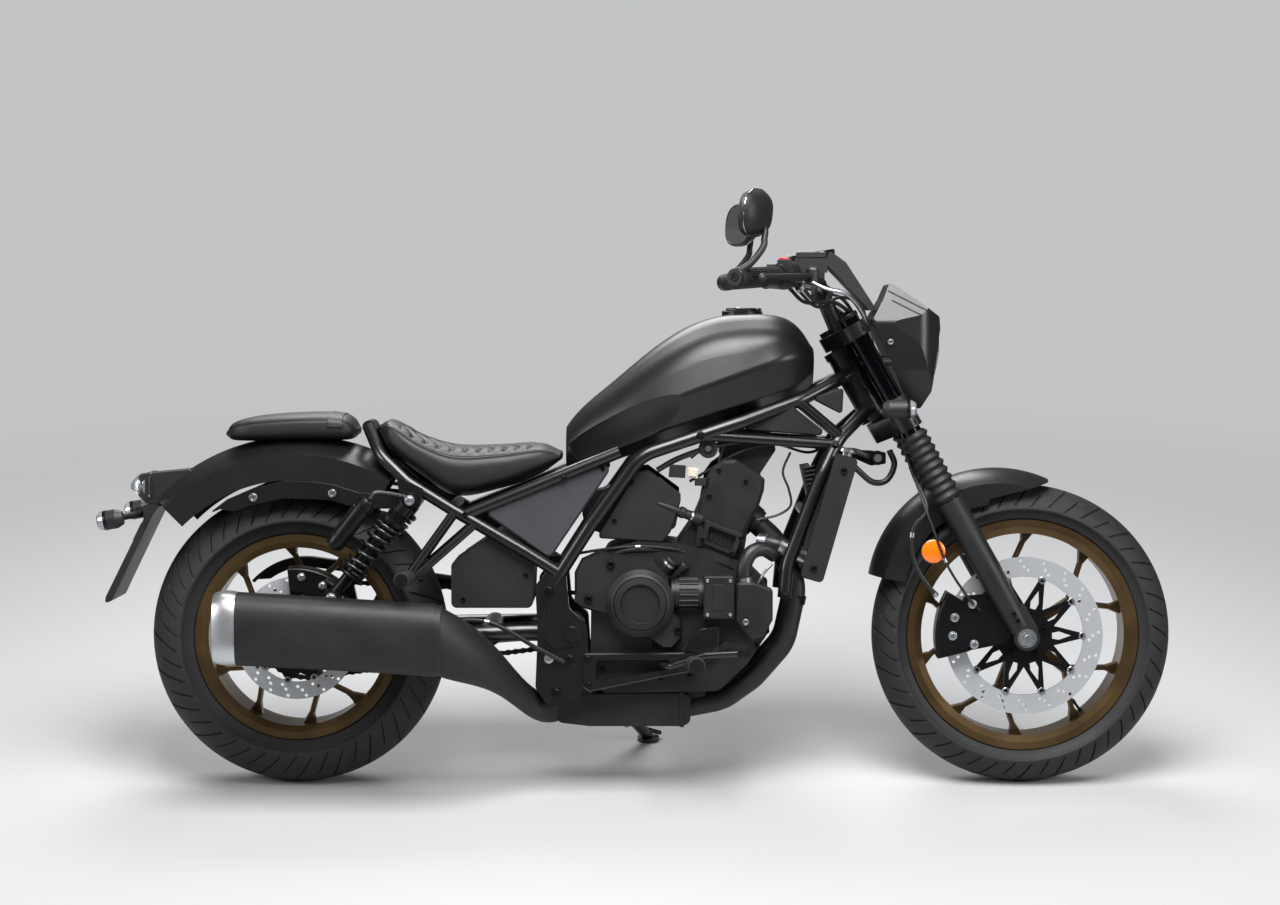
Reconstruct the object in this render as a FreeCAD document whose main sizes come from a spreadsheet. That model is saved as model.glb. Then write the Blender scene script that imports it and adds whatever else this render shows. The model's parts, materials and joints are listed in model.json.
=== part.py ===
"""Cruiser motorcycle with an open twin engine, parked on its side stand. Millimetres.

Every piece is drawn with the machine upright: X runs forward from the rear axle, Y to the rider's
left and Z up from the floor below the rear tyre. One placement then tips the whole machine onto
its side stand and puts the origin on the floor below the middle of its bounding box.
"""
import FreeCAD
import Part
import Sketcher
import math
import os

Vector = FreeCAD.Vector
Placement = FreeCAD.Placement
Rotation = FreeCAD.Rotation

SIZES = {
    # Stance
    "lean_angle": 10,
    "wheelbase": 1520,
    "origin_forward": 717.45,
    "origin_left": 203.25,
    # Front wheel
    "front_tyre_radius": 314,
    "front_tyre_width": 130,
    "front_rim_width": 100,
    "front_bead_radius": 230,
    "front_flange_radius": 242,
    "front_barrel_radius": 213,
    "front_spoke_split": 119,
    "front_hub_radius": 34,
    "front_hub_width": 118,
    "front_axle_radius": 11,
    # Rear wheel
    "rear_tyre_radius": 311,
    "rear_tyre_width": 180,
    "rear_rim_width": 134,
    "rear_bead_radius": 203,
    "rear_flange_radius": 215,
    "rear_barrel_radius": 187,
    "rear_spoke_split": 104,
    "rear_hub_radius": 42,
    "rear_hub_width": 150,
    "rear_axle_radius": 12.5,
    "axle_nut_radius": 19,
    # Wheel details
    "tyre_wall": 11,
    "shoulder_angle": 75,
    "rim_wall": 7,
    "hub_flange": 14,
    "spoke_count": 5,
    "spoke_thickness": 30,
    "spoke_trunk": 21,
    "spoke_arm": 12.5,
    "spoke_spread": 19,
    "axle_clearance": 0.05,
    # Brake discs
    "disc_thickness": 5,
    "front_disc_radius": 165,
    "front_disc_bore": 124,
    "front_disc_offset": 66,
    "rear_disc_radius": 128,
    "rear_disc_bore": 92,
    "rear_disc_offset": 84,
    "disc_hole_radius": 3.6,
    "carrier_web": 12,
    "bobbin_count": 10,
    "bobbin_radius": 8,
    "caliper_gap": 6.2,
    # Fork and steering head
    "rake_angle": 29.3,
    "fork_offset": 43.6,
    "fork_half_track": 105,
    "stanchion_radius": 21.5,
    "slider_radius": 27,
    "slider_top": 328,
    "boot_top": 487,
    "boot_radius": 31,
    "boot_pleats": 9,
    "lower_yoke_bottom": 498,
    "lower_yoke_height": 42,
    "upper_yoke_bottom": 716,
    "upper_yoke_height": 30,
    "stem_radius": 15,
    "head_tube_radius": 31,
    "yoke_clearance": 5,
    # Handlebar
    "bar_radius": 11,
    "grip_radius": 17,
    "bar_half_width": 410,
    # Frame
    "main_tube_radius": 14.5,
    "down_tube_radius": 14.5,
    "seat_tube_radius": 13,
    "strut_radius": 11,
    "pivot_plate_thickness": 30,
    "pivot_forward": 576,
    "pivot_height": 326,
    "pivot_half_width": 128,
    # Swingarm
    "swingarm_radius": 20,
    "swingarm_half_width": 128,
    "lug_reach": 15.7,
    # Chain
    "chain_line": 99.4,
    "chain_height": 13,
    "chain_width": 12.4,
    "chain_links": 112,
    "rear_sprocket_radius": 92,
    "sprocket_thickness": 7,
    "rear_teeth": 36,
    "tooth_depth": 7,
    "front_sprocket_radius": 36,
    "front_sprocket_forward": 655,
    # Engine
    "case_half_width": 122,
    "head_half_width": 98,
    "cover_depth": 26,
    "clutch_radius": 70,
    "clutch_eye_radius": 50,
    "header_radius": 21.5,
    # Fenders
    "front_fender_radius": 271,
    "front_fender_gap": 52,
    "front_fender_skirt": 74,
    "rear_fender_gap": 108,
    "rear_fender_half_width": 112,
    "rear_fender_skirt": 88,
    "fender_wall": 3,
    "stay_thickness": 5.9,
    "stay_bolt_radius": 4.25,
    # Side stand
    "stand_pivot_forward": 640,
    "stand_pivot_left": 140,
    "stand_pivot_height": 178,
    "stand_foot_forward": 735,
    "stand_foot_left": 275,
    "stand_pin_radius": 7,
    "stand_boss_radius": 17,
    "stand_boss_width": 28,
    "stand_leg_radius": 12,
    "stand_foot_radius": 24,
    "stand_foot_height": 8,
    "pin_clearance": 0.05,
    # Tank and cap
    "tank_half_width": 146,
    "cap_radius": 33,
    "cap_height": 7,
    "cap_hinge_half_width": 8,
    "cap_hinge_radius": 4,
}
# Where the swingarm pivot and the steering head were drawn, and the height on the fork meant by the head
DRAWN_PIVOT = 576
DRAWN_HEAD = 1178.56
HEAD_UP = 620
# Draft of the cast pieces in degrees
SPOKE_DRAFT = 9
CAST_DRAFT = 12
# How far the tank's belly hangs below its lower flank
TANK_KEEL = 30
# The rear shocks' two eyes on the left
SHOCK_HEAD = (243, 160, 605)
SHOCK_FOOT = (81, 160, 404)
# The clutch cover's base, seen from the middle of the clutch
CLUTCH_OUTLINE = [
    (-136, 62), (-121, 91), (-84, 108), (-38, 99), (29, 91), (62, 53), (67, -14), (87, -35),
    (87, -76), (67, -97), (46, -97), (12, -72), (-38, -60), (-63, -30), (-121, -12), (-136, -1),
]
# The stays' two bolts, as far round the rear fender as drawn
STAY_BOLTS = ((-85, 607.5), (79, 616))
# How far the chain's inner edge lies outside the tips of the sprocket's teeth
CHAIN_SEAT = 6
# The lamp's opening in its cowl
LAMP_RADIUS = 66

DOCUMENT = FreeCAD.newDocument("Motorcycle")
SHEET = DOCUMENT.addObject("Spreadsheet::Sheet", "Sizes")
for row, (alias, value) in enumerate(SIZES.items(), start=1):
    SHEET.set(f"A{row}", alias)
    SHEET.set(f"B{row}", str(value))
    SHEET.setAlias(f"B{row}", alias)
DOCUMENT.recompute()

NODES = {}


def size(alias):
    """The value of one cell of the sheet."""
    return float(getattr(SHEET, alias))


LEAN = math.radians(size("lean_angle"))
RAKE = math.radians(size("rake_angle"))


def axle_height(end):
    """Height of an axle over the floor when the round crown of its leaning tyre touches it."""
    crown = size(f"{end}_tyre_width") / 2
    return size(f"{end}_tyre_radius") - crown + crown / math.cos(LEAN)


FRONT_AXLE = Vector(size("wheelbase"), 0, axle_height("front"))
REAR_AXLE = Vector(0, 0, axle_height("rear"))
PARKED = Placement(
    Vector(-size("origin_forward"), -size("origin_left"), 0),
    Rotation(Vector(1, 0, 0), -size("lean_angle")),
)
FORK_UP = Vector(-math.sin(RAKE), 0, math.cos(RAKE))
FORK_FORWARD = Vector(math.cos(RAKE), 0, math.sin(RAKE))
FORK = Placement(FRONT_AXLE, Rotation(Vector(0, 1, 0), -size("rake_angle")))


def on_fork(up, left=0, forward=0):
    """A point given along the fork legs from the front axle, in the bike's frame."""
    return FRONT_AXLE + FORK_UP * up + Vector(0, left, 0) + FORK_FORWARD * forward


def on_steering_axis(up, left=0):
    """A point beside the steering axis, as far up the fork as given."""
    return on_fork(up, left, -size("fork_offset"))


def station(x):
    """How far forward a drawn point lies once the pivot or the steering head has moved."""
    pivot, head = size("pivot_forward"), on_steering_axis(HEAD_UP).x
    if x < DRAWN_PIVOT:
        return x * pivot / DRAWN_PIVOT
    if x > DRAWN_HEAD:
        return x + head - DRAWN_HEAD
    return pivot + (x - DRAWN_PIVOT) * (head - pivot) / (DRAWN_HEAD - DRAWN_PIVOT)


def at(x, y, z):
    """A point of the chassis, given where it is drawn."""
    return Vector(station(x), y, z)


def by_head(x, y, z):
    """A point of the steered pieces, given where it is drawn."""
    return Vector(x + on_steering_axis(HEAD_UP).x - DRAWN_HEAD, y, z)


def mirrored(points):
    """The same points on the other side of the machine."""
    return [Vector(p.x, -p.y, p.z) for p in points]


def rounded_path(points, radius, closed=False):
    """Straight runs between the points, joined by tangent arcs."""
    points = [Vector(p) for p in points]
    count = len(points)
    corners = range(count) if closed else range(1, count - 1)
    starts, ends, arcs = {}, {}, {}
    for i in corners:
        corner, before, after = points[i], points[i - 1], points[(i + 1) % count]
        back = (before - corner).normalize()
        ahead = (after - corner).normalize()
        turn = math.pi - back.getAngle(ahead)
        if turn < 0.02:
            continue
        wanted = radius[i] if isinstance(radius, (list, tuple)) else radius
        reach = 0.48 * min((before - corner).Length, (after - corner).Length)
        trim = min(wanted * math.tan(turn / 2), reach)
        if trim < 0.01:
            continue
        arc_radius = trim / math.tan(turn / 2)
        inward = (back + ahead).normalize()
        middle = corner + inward * (arc_radius / math.cos(turn / 2) - arc_radius)
        starts[i], ends[i] = corner + back * trim, corner + ahead * trim
        arcs[i] = Part.Arc(starts[i], middle, ends[i]).toShape()
    edges = []
    last = count if closed else count - 1
    for i in range(last):
        following = (i + 1) % count
        if i in arcs:
            edges.append(arcs[i])
        start = ends.get(i, points[i])
        end = starts.get(following, points[following])
        if (end - start).Length > 0.001:
            edges.append(Part.LineSegment(start, end).toShape())
    return Part.Wire(edges)


def tube(points, radius, bend=60):
    """A round tube along the points."""
    path = rounded_path(points, bend)
    start = path.Edges[0].Curve.parameter(Vector(points[0]))
    direction = path.Edges[0].tangentAt(start)
    section = Part.Wire(Part.makeCircle(radius, Vector(points[0]), direction))
    solid = path.makePipeShell([section], True, False)
    expected = math.pi * radius ** 2 * path.Length
    if not solid.isValid() or abs(solid.Volume / expected - 1) > 0.02:
        raise ValueError(f"a tube came out wrong: {solid.Volume:.0f} for {expected:.0f}")
    return solid


def rod(start, end, radius, end_radius=None):
    """A round rod, or a cone, between two points."""
    start, end = Vector(start), Vector(end)
    axis = end - start
    if end_radius is None or abs(end_radius - radius) < 0.001:
        return Part.makeCylinder(radius, axis.Length, start, axis)
    return Part.makeCone(radius, end_radius, axis.Length, start, axis)


def collar(start, end, radius, edge=2):
    """A round boss with a chamfer round its far end."""
    start, end = Vector(start), Vector(end)
    along = (end - start).normalize()
    step = end - along * edge
    return rod(start, step, radius).fuse(rod(step, end, radius, radius - edge)).removeSplitter()


def side_plate(outline, right, left, corner=8):
    """A plate with the given side outline (x, z), from one distance left of the middle to another."""
    points = [at(x, right, z) for x, z in outline]
    face = Part.Face(rounded_path(points, corner, closed=True))
    return face.extrude(Vector(0, left - right, 0))


def cover(outline, near, far, corner=8, edge=3):
    """A cast cover standing out from a flank, with a chamfer round its outer face."""
    solid = side_plate(outline, near, far, corner)
    rim_edges = [e for e in solid.Edges if all(abs(v.Point.y - far) < 0.01 for v in e.Vertexes)]
    solid = solid.makeChamfer(edge, rim_edges)
    if not solid.isValid():
        raise ValueError(f"a chamfer of {edge} is too wide for the cover")
    return solid


def loft(sections, ruled=False):
    """A solid through closed wires."""
    return Part.makeLoft(sections, True, ruled)


def oval(centre, across, up, half_width, half_height, power=2.5, count=16):
    """A closed smooth curve between an ellipse and a box."""
    points = []
    for i in range(count):
        angle = 2 * math.pi * i / count
        c, s = math.cos(angle), math.sin(angle)
        u = math.copysign(abs(c) ** (2 / power), c) * half_width
        v = math.copysign(abs(s) ** (2 / power), s) * half_height
        points.append(Vector(centre) + Vector(across) * u + Vector(up) * v)
    curve = Part.BSplineCurve()
    curve.interpolate(points, PeriodicFlag=True)
    return Part.Wire(curve.toShape())


def upright_shape(label):
    """The shape of a finished piece with the machine still upright."""
    shape = NODES[label].Shape.copy()
    shape.Placement = PARKED.inverse().multiply(shape.Placement)
    return shape


def trimmed(shape, *labels):
    """A shape with its ends coped to the finished pieces that it meets."""
    for label in labels:
        shape = shape.cut(upright_shape(label))
    return shape


def finish(label, item):
    """Name a sub-part and park it with the rest of the machine."""
    if isinstance(item, Part.Shape):
        feature = DOCUMENT.addObject("Part::Feature", label)
        feature.Shape = item
        item = feature
    item.Label = label
    item.Placement = PARKED.multiply(item.Placement)
    NODES[label] = item
    DOCUMENT.recompute()
    return item


def joined(*shapes):
    """One solid, or one compound, from shapes that meet."""
    result = shapes[0]
    if len(shapes) > 1:
        result = shapes[0].multiFuse(list(shapes[1:]))
    return result.removeSplitter()


def both_sides(shape):
    """A shape and its mirror image as two solids of one piece."""
    twin = shape.mirror(Vector(0, 0, 0), Vector(0, 1, 0))
    return Part.makeCompound([shape, twin])


def origin_plane(body, role):
    """One of a body's own planes or axes."""
    return [feature for feature in body.Origin.OriginFeatures if feature.Role == role][0]


def new_body(name):
    """An empty body."""
    return DOCUMENT.addObject("PartDesign::Body", name)


def sketch_on(body, name, role, offset=None):
    """A sketch on one of the body's own planes, moved along its normal where an offset is given."""
    sketch = body.newObject("Sketcher::SketchObject", name)
    sketch.AttachmentSupport = [(origin_plane(body, role), "")]
    sketch.MapMode = "FlatFace"
    if offset is not None:
        sketch.setExpression("AttachmentOffset.Base.z", offset)
    return sketch


def bound_polygon(sketch, corners):
    """A closed outline whose corners are pairs of expressions."""
    values = [(float(sketch.evalExpression(a)), float(sketch.evalExpression(b))) for a, b in corners]
    first = sketch.GeometryCount
    count = len(corners)
    for i in range(count):
        here, there = values[i], values[(i + 1) % count]
        segment = Part.LineSegment(Vector(here[0], here[1], 0), Vector(there[0], there[1], 0))
        sketch.addGeometry(segment, False)
    for i in range(count):
        following = first + (i + 1) % count
        sketch.addConstraint(Sketcher.Constraint("Coincident", first + i, 2, following, 1))
    for i in range(count):
        for kind, axis in (("DistanceX", 0), ("DistanceY", 1)):
            constraint = Sketcher.Constraint(kind, -1, 1, first + i, 1, values[i][axis])
            index = sketch.addConstraint(constraint)
            sketch.setExpression(f"Constraints[{index}]", corners[i][axis])
    return sketch


def bound_circle(sketch, across, up, radius):
    """A circle whose centre and radius are expressions."""
    x, y, r = (float(sketch.evalExpression(e)) for e in (across, up, radius))
    index = sketch.addGeometry(Part.Circle(Vector(x, y, 0), Vector(0, 0, 1), r), False)
    for kind, expression, value in (("DistanceX", across, x), ("DistanceY", up, y)):
        number = sketch.addConstraint(Sketcher.Constraint(kind, -1, 1, index, 3, value))
        sketch.setExpression(f"Constraints[{number}]", expression)
    number = sketch.addConstraint(Sketcher.Constraint("Radius", index, r))
    sketch.setExpression(f"Constraints[{number}]", radius)
    return sketch


def revolved(body, sketch, name="Turned"):
    """The sketch turned a full circle about its vertical axis."""
    feature = body.newObject("PartDesign::Revolution", name)
    feature.Profile = sketch
    feature.ReferenceAxis = (sketch, ["V_Axis"])
    feature.Angle = 360
    return feature


def padded(body, sketch, length, name="Raised", midplane=False, reversed_=False):
    """The sketch raised by an expression."""
    feature = body.newObject("PartDesign::Pad", name)
    feature.Profile = sketch
    feature.setExpression("Length", length)
    feature.Midplane = midplane
    feature.Reversed = reversed_
    return feature


def pocketed(body, sketch, name="Cut"):
    """The sketch cut through the whole body."""
    DOCUMENT.recompute()
    before = body.Shape.Volume
    feature = body.newObject("PartDesign::Pocket", name)
    feature.Profile = sketch
    feature.Type = "ThroughAll"
    feature.Midplane = True
    DOCUMENT.recompute()
    if body.Shape.Volume >= before:
        raise ValueError(f"{name} cuts nothing")
    return feature


def patterned(body, features, count, name="Repeated", role="Y_Axis"):
    """The features repeated round one of the body's axes."""
    pattern = body.newObject("PartDesign::PolarPattern", name)
    pattern.Originals = features
    pattern.Axis = (origin_plane(body, role), [""])
    pattern.Angle = 360
    pattern.setExpression("Occurrences", count)
    body.Tip = pattern
    return pattern


def tyre(end, axle):
    """A round-crowned tyre with its hollow inside, turned about the axle."""
    body = new_body(f"{end}_tyre_body")
    sketch = sketch_on(body, f"{end}_tyre_section", "XY_Plane")
    s = "Sizes."
    radius, width = f"{s}{end}_tyre_radius", f"{s}{end}_tyre_width"
    crown = size(f"{end}_tyre_width") / 2
    middle = size(f"{end}_tyre_radius") - crown
    half_rim = f"{s}{end}_rim_width / 2 - {s}rim_wall"
    bead, flange = f"{s}{end}_bead_radius", f"{s}{end}_flange_radius"
    wall = f"{s}tyre_wall"
    turn = math.radians(size("shoulder_angle"))
    arc = Part.ArcOfCircle(Part.Circle(Vector(middle, 0, 0), Vector(0, 0, 1), crown), -turn, turn)
    sketch.addGeometry(arc, False)
    centre = f"{radius} - {width} / 2"
    angle = f"{s}shoulder_angle"

    def around(share, depth):
        reach = f"({width} / 2 - {depth})"
        return f"{centre} + {reach} * cos({angle} * {share})", f"{reach} * sin({angle} * {share})"

    upper = [
        around(1, "0"),
        (f"{flange} + 5", f"{half_rim} + 7"),
        (flange, half_rim),
        (bead, half_rim),
        (bead, f"{half_rim} - {wall}"),
        around(1, wall),
        around(0.45, wall),
    ]
    rest = upper + [(across, f"-({out})") for across, out in reversed(upper)]
    values = [(float(sketch.evalExpression(a)), float(sketch.evalExpression(b))) for a, b in rest]
    for here, there in zip(values, values[1:]):
        segment = Part.LineSegment(Vector(here[0], here[1], 0), Vector(there[0], there[1], 0))
        sketch.addGeometry(segment, False)
    last = len(values) - 1
    sketch.addConstraint(Sketcher.Constraint("Coincident", 0, 2, 1, 1))
    for i in range(1, last):
        sketch.addConstraint(Sketcher.Constraint("Coincident", i, 2, i + 1, 1))
    sketch.addConstraint(Sketcher.Constraint("Coincident", last, 2, 0, 1))
    for i in range(1, last):
        for kind, axis in (("DistanceX", 0), ("DistanceY", 1)):
            number = sketch.addConstraint(
                Sketcher.Constraint(kind, -1, 1, i, 2, values[i][axis])
            )
            sketch.setExpression(f"Constraints[{number}]", rest[i][axis])
    number = sketch.addConstraint(Sketcher.Constraint("DistanceX", -1, 1, 0, 3, middle))
    sketch.setExpression(f"Constraints[{number}]", centre)
    number = sketch.addConstraint(Sketcher.Constraint("Radius", 0, crown))
    sketch.setExpression(f"Constraints[{number}]", f"{width} / 2")
    sketch.addConstraint(Sketcher.Constraint("PointOnObject", 0, 3, -1))
    for point, place in ((2, rest[0]), (1, rest[-1])):
        value = float(sketch.evalExpression(place[1]))
        number = sketch.addConstraint(Sketcher.Constraint("DistanceY", -1, 1, 0, point, value))
        sketch.setExpression(f"Constraints[{number}]", place[1])
    revolved(body, sketch)
    body.Placement = Placement(axle, Rotation())
    return finish(f"{end}_tyre", body)


def rim(end, axle, turn):
    """A cast rim with five forked spokes and a bored hub, about the axle."""
    body = new_body(f"{end}_rim_body")
    s = "Sizes."
    half = f"{s}{end}_rim_width / 2"
    inside = f"({half} - {s}rim_wall)"
    bead, flange = f"{s}{end}_bead_radius", f"{s}{end}_flange_radius"
    barrel, wall = f"{s}{end}_barrel_radius", f"{s}rim_wall"
    well = f"({barrel} + {wall})"
    section = [
        (flange, half), (flange, inside), (bead, inside), (bead, f"{inside} * 0.55"),
        (well, f"{inside} * 0.4"), (well, f"-{inside} * 0.4"), (bead, f"-{inside} * 0.55"),
        (bead, f"-{inside}"), (flange, f"-{inside}"), (flange, f"-({half})"),
        (f"{flange} - {wall} - 8", f"-({half})"), (barrel, f"-({half}) + 4"),
        (barrel, f"{half} - 4"), (f"{flange} - {wall} - 8", half),
    ]
    barrel_sketch = bound_polygon(sketch_on(body, f"{end}_rim_section", "XY_Plane"), section)
    revolved(body, barrel_sketch, "Barrel")
    bore = f"({s}{end}_axle_radius + {s}axle_clearance)"
    hub, hub_half = f"{s}{end}_hub_radius", f"{s}{end}_hub_width / 2"
    boss = f"({hub} + {s}hub_flange)"
    hub_section = [
        (bore, hub_half), (boss, hub_half), (boss, f"{hub_half} - 9"),
        (hub, f"{hub_half} - 22"), (hub, f"-({hub_half} - 22)"),
        (boss, f"-({hub_half} - 9)"), (boss, f"-({hub_half})"),
        (bore, f"-({hub_half})"),
    ]
    hub_sketch = bound_polygon(sketch_on(body, f"{end}_hub_section", "XY_Plane"), hub_section)
    revolved(body, hub_sketch, "Hub")
    spread = f"{s}spoke_spread"
    tip = f"({barrel} + {wall} / 2)"
    split, trunk, arm = f"{s}{end}_spoke_split", f"{s}spoke_trunk / 2", f"{s}spoke_arm / 2"
    flare, back = f"{s}spoke_arm * 1.3", f"{s}spoke_arm * 2"
    across, up = f"({tip} * sin({spread}))", f"({tip} * cos({spread}))"
    lean = f"atan({across} / ({up} - {split}))"
    neck = f"({up} - {back} * cos({lean}))"
    neck_across = f"({across} - {back} * sin({lean}))"
    right_half = [
        (f"{trunk} + 6", f"{hub} - 4"),
        (trunk, f"{boss} + 12"),
        (trunk, f"{up} - {arm} * sin({lean}) - ({across} + {arm} * cos({lean}) - {trunk}) / tan({lean})"),
        (f"{neck_across} + {arm} * cos({lean})", f"{neck} - {arm} * sin({lean})"),
        (f"{across} + {flare} * cos({spread})", f"{up} - {flare} * sin({spread})"),
        (f"{across} - {flare} * cos({spread})", f"{up} + {flare} * sin({spread})"),
        (f"{neck_across} - {arm} * cos({lean})", f"{neck} + {arm} * sin({lean})"),
    ]
    crotch = ("0", f"{split} + {arm} / sin({lean})")
    outline = right_half + [crotch] + [(f"-({a})", b) for a, b in reversed(right_half)]
    spoke_sketch = bound_polygon(sketch_on(body, f"{end}_spoke_outline", "XZ_Plane"), outline)
    halves = []
    for name, turned in (("SpokeRight", False), ("SpokeLeft", True)):
        spoke = padded(body, spoke_sketch, f"{s}spoke_thickness / 2", name, reversed_=turned)
        spoke.TaperAngle = -SPOKE_DRAFT
        halves.append(spoke)
    DOCUMENT.recompute()
    patterned(body, halves, f"{s}spoke_count", "Spokes")
    body.Placement = Placement(axle, Rotation(Vector(0, 1, 0), turn))
    return finish(f"{end}_rim", body)


def brake_disc(end, axle, turn, opened):
    """A drilled disc on the right of the wheel, on the star of its carrier, bolted to the hub."""
    body = new_body(f"{end}_disc_body")
    s = "Sizes."
    offset, bore, thick = f"{s}{end}_disc_offset", f"{s}{end}_disc_bore", f"{s}disc_thickness"
    flat = sketch_on(body, f"{end}_disc_outline", "XZ_Plane", offset)
    bound_circle(flat, "0", "0", f"{s}{end}_disc_radius")
    bound_circle(flat, "0", "0", bore)
    padded(body, flat, thick, "Ring")
    seat = f"({s}{end}_hub_radius + {s}hub_flange + 6)"
    valley = f"({seat} + {s}carrier_web)"
    half_turn = f"(180 / {s}bobbin_count)"
    arm = sketch_on(body, f"{end}_carrier_arm", "XZ_Plane", offset)
    bound_polygon(arm, [
        (f"-({seat} - 6) * sin({half_turn})", f"({seat} - 6) * cos({half_turn})"),
        (f"({seat} - 6) * sin({half_turn})", f"({seat} - 6) * cos({half_turn})"),
        (f"{valley} * sin({half_turn})", f"{valley} * cos({half_turn})"),
        ("6", f"{bore} - 4"), ("-6", f"{bore} - 4"),
        (f"-{valley} * sin({half_turn})", f"{valley} * cos({half_turn})"),
    ])
    if opened:
        bound_polygon(arm, [
            ("-6", f"{seat} + 5"), ("6", f"{seat} + 5"), ("9", f"{valley} + 7"), ("0", f"{bore} - 25"),
            ("-9", f"{valley} + 7"),
        ])
    arm_pad = padded(body, arm, thick, "Arm")
    bobbin = sketch_on(body, f"{end}_bobbin", "XZ_Plane", f"{offset} - 1")
    bound_circle(bobbin, "0", f"{bore} - 2", f"{s}bobbin_radius")
    bobbin_pad = padded(body, bobbin, f"{thick} + 2", "Bobbin")
    DOCUMENT.recompute()
    patterned(body, [arm_pad, bobbin_pad], f"{s}bobbin_count", "Arms")
    centre = sketch_on(body, f"{end}_carrier_centre", "XZ_Plane", f"{s}{end}_hub_width / 2")
    bound_circle(centre, "0", "0", seat)
    bound_circle(centre, "0", "0", f"{s}{end}_hub_radius - 8")
    padded(body, centre, f"{offset} + {thick} - {s}{end}_hub_width / 2", "Centre")
    hole = sketch_on(body, f"{end}_disc_hole", "XZ_Plane", offset)
    middle = f"({bore} + {s}{end}_disc_radius) / 2"
    bound_circle(hole, "-7", f"{middle} + 12", f"{s}disc_hole_radius")
    bound_circle(hole, "0", middle, f"{s}disc_hole_radius")
    bound_circle(hole, "9", f"{middle} - 8", f"{s}disc_hole_radius")
    first_cut = pocketed(body, hole, "Drilling")
    patterned(body, [first_cut], f"{s}bobbin_count * 2", "Drillings")
    body.Placement = Placement(axle, Rotation(Vector(0, 1, 0), turn))
    return finish(f"{end}_disc", body)


def rear_sprocket():
    """The toothed wheel on the left of the rear hub."""
    body = new_body("rear_sprocket_body")
    s = "Sizes."
    radius, thick = f"{s}rear_sprocket_radius", f"{s}sprocket_thickness"
    inner = f"-({s}chain_line + {thick} / 2)"
    ring = sketch_on(body, "sprocket_ring", "XZ_Plane", inner)
    root = f"({radius} - {s}tooth_depth)"
    bound_circle(ring, "0", "0", root)
    bound_circle(ring, "0", "0", f"{root} - 16")
    padded(body, ring, thick, "Ring")
    tooth = sketch_on(body, "sprocket_tooth", "XZ_Plane", inner)
    bound_polygon(tooth, [
        ("-5", f"{root} - 2"), ("5", f"{root} - 2"), ("2", radius),
        ("-2", radius),
    ])
    tooth_pad = padded(body, tooth, thick, "Tooth")
    DOCUMENT.recompute()
    patterned(body, [tooth_pad], f"{s}rear_teeth", "Teeth")
    arm = sketch_on(body, "sprocket_arm", "XZ_Plane", inner)
    bound_polygon(arm, [
        ("-13", f"{s}rear_hub_radius"), ("13", f"{s}rear_hub_radius"),
        ("9", f"{root} - 12"), ("-9", f"{root} - 12"),
    ])
    arm_pad = padded(body, arm, thick, "Arm")
    DOCUMENT.recompute()
    patterned(body, [arm_pad], f"{s}spoke_count", "Arms")
    centre = sketch_on(body, "sprocket_centre", "XZ_Plane", inner)
    bound_circle(centre, "0", "0", f"{s}rear_hub_radius + 12")
    bound_circle(centre, "0", "0", f"{s}rear_axle_radius + 6")
    padded(body, centre, f"{s}chain_line + {thick} / 2 - {s}rear_hub_width / 2", "Centre")
    body.Placement = Placement(REAR_AXLE, Rotation())
    return finish("rear_sprocket", body)


def rear_axle():
    """The through axle, with a nut on each side of the swingarm."""
    half = size("swingarm_half_width") + size("swingarm_radius") * 0.6
    end = Vector(0, half, 0)
    shaft = rod(REAR_AXLE - end, REAR_AXLE + end, size("rear_axle_radius"))
    nuts = [
        collar(REAR_AXLE + end * side, REAR_AXLE + Vector(0, side * (half + 12), 0), size("axle_nut_radius"))
        for side in (-1, 1)
    ]
    return finish("rear_axle", joined(shaft, *nuts))


def swingarm():
    """Two round arms from the pivot to the axle, with a cross tube ahead of the tyre."""
    pivot = Vector(size("pivot_forward"), 0, size("pivot_height"))
    half, radius = size("swingarm_half_width"), size("swingarm_radius")
    near_pivot = size("pivot_half_width") - size("pivot_plate_thickness") / 2 - 1
    axle = REAR_AXLE.z
    outside = half + size("lug_reach")
    parts = []
    for side in (-1, 1):
        arm = tube([
            at(-18, side * half, axle), at(340, side * half, axle + 8),
            at(470, side * (near_pivot - radius), pivot.z),
            Vector(pivot.x, side * (near_pivot - radius), pivot.z),
        ], radius, 120)
        dropout = side_plate(
            [(-48, axle - 16), (-30, axle - 26), (60, axle - 22), (74, axle), (60, axle + 24), (-30, axle + 28),
             (-48, axle + 18)],
            side * half - 11, side * half + 11, 12,
        )
        adjuster = rod(at(-62, side * half, axle), at(-40, side * half, axle), 6)
        lug = side_plate(
            [(44, axle + 10), (118, axle + 10), (97, SHOCK_FOOT[2] + 16), (65, SHOCK_FOOT[2] + 16)],
            side * (half - 4), side * outside, 10,
        )
        parts += [arm, dropout, adjuster, lug]
    cross = rod(at(405, -half + 8, axle + 10), at(405, half - 8, axle + 10), 24)
    barrel = rod(pivot + Vector(0, -near_pivot, 0), pivot + Vector(0, near_pivot, 0), 24)
    shape = joined(cross, barrel, *parts)
    reach = half + 72
    shape = shape.cut(rod(REAR_AXLE + Vector(0, -reach, 0), REAR_AXLE + Vector(0, reach, 0),
                          size("rear_axle_radius")))
    for side in (-1, 1):
        shape = shape.cut(rod(
            REAR_AXLE + Vector(0, side * (half + radius * 0.6), 0), REAR_AXLE + Vector(0, side * reach, 0),
            size("axle_nut_radius") + 1,
        ))
    return finish("swingarm", shape)


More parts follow.
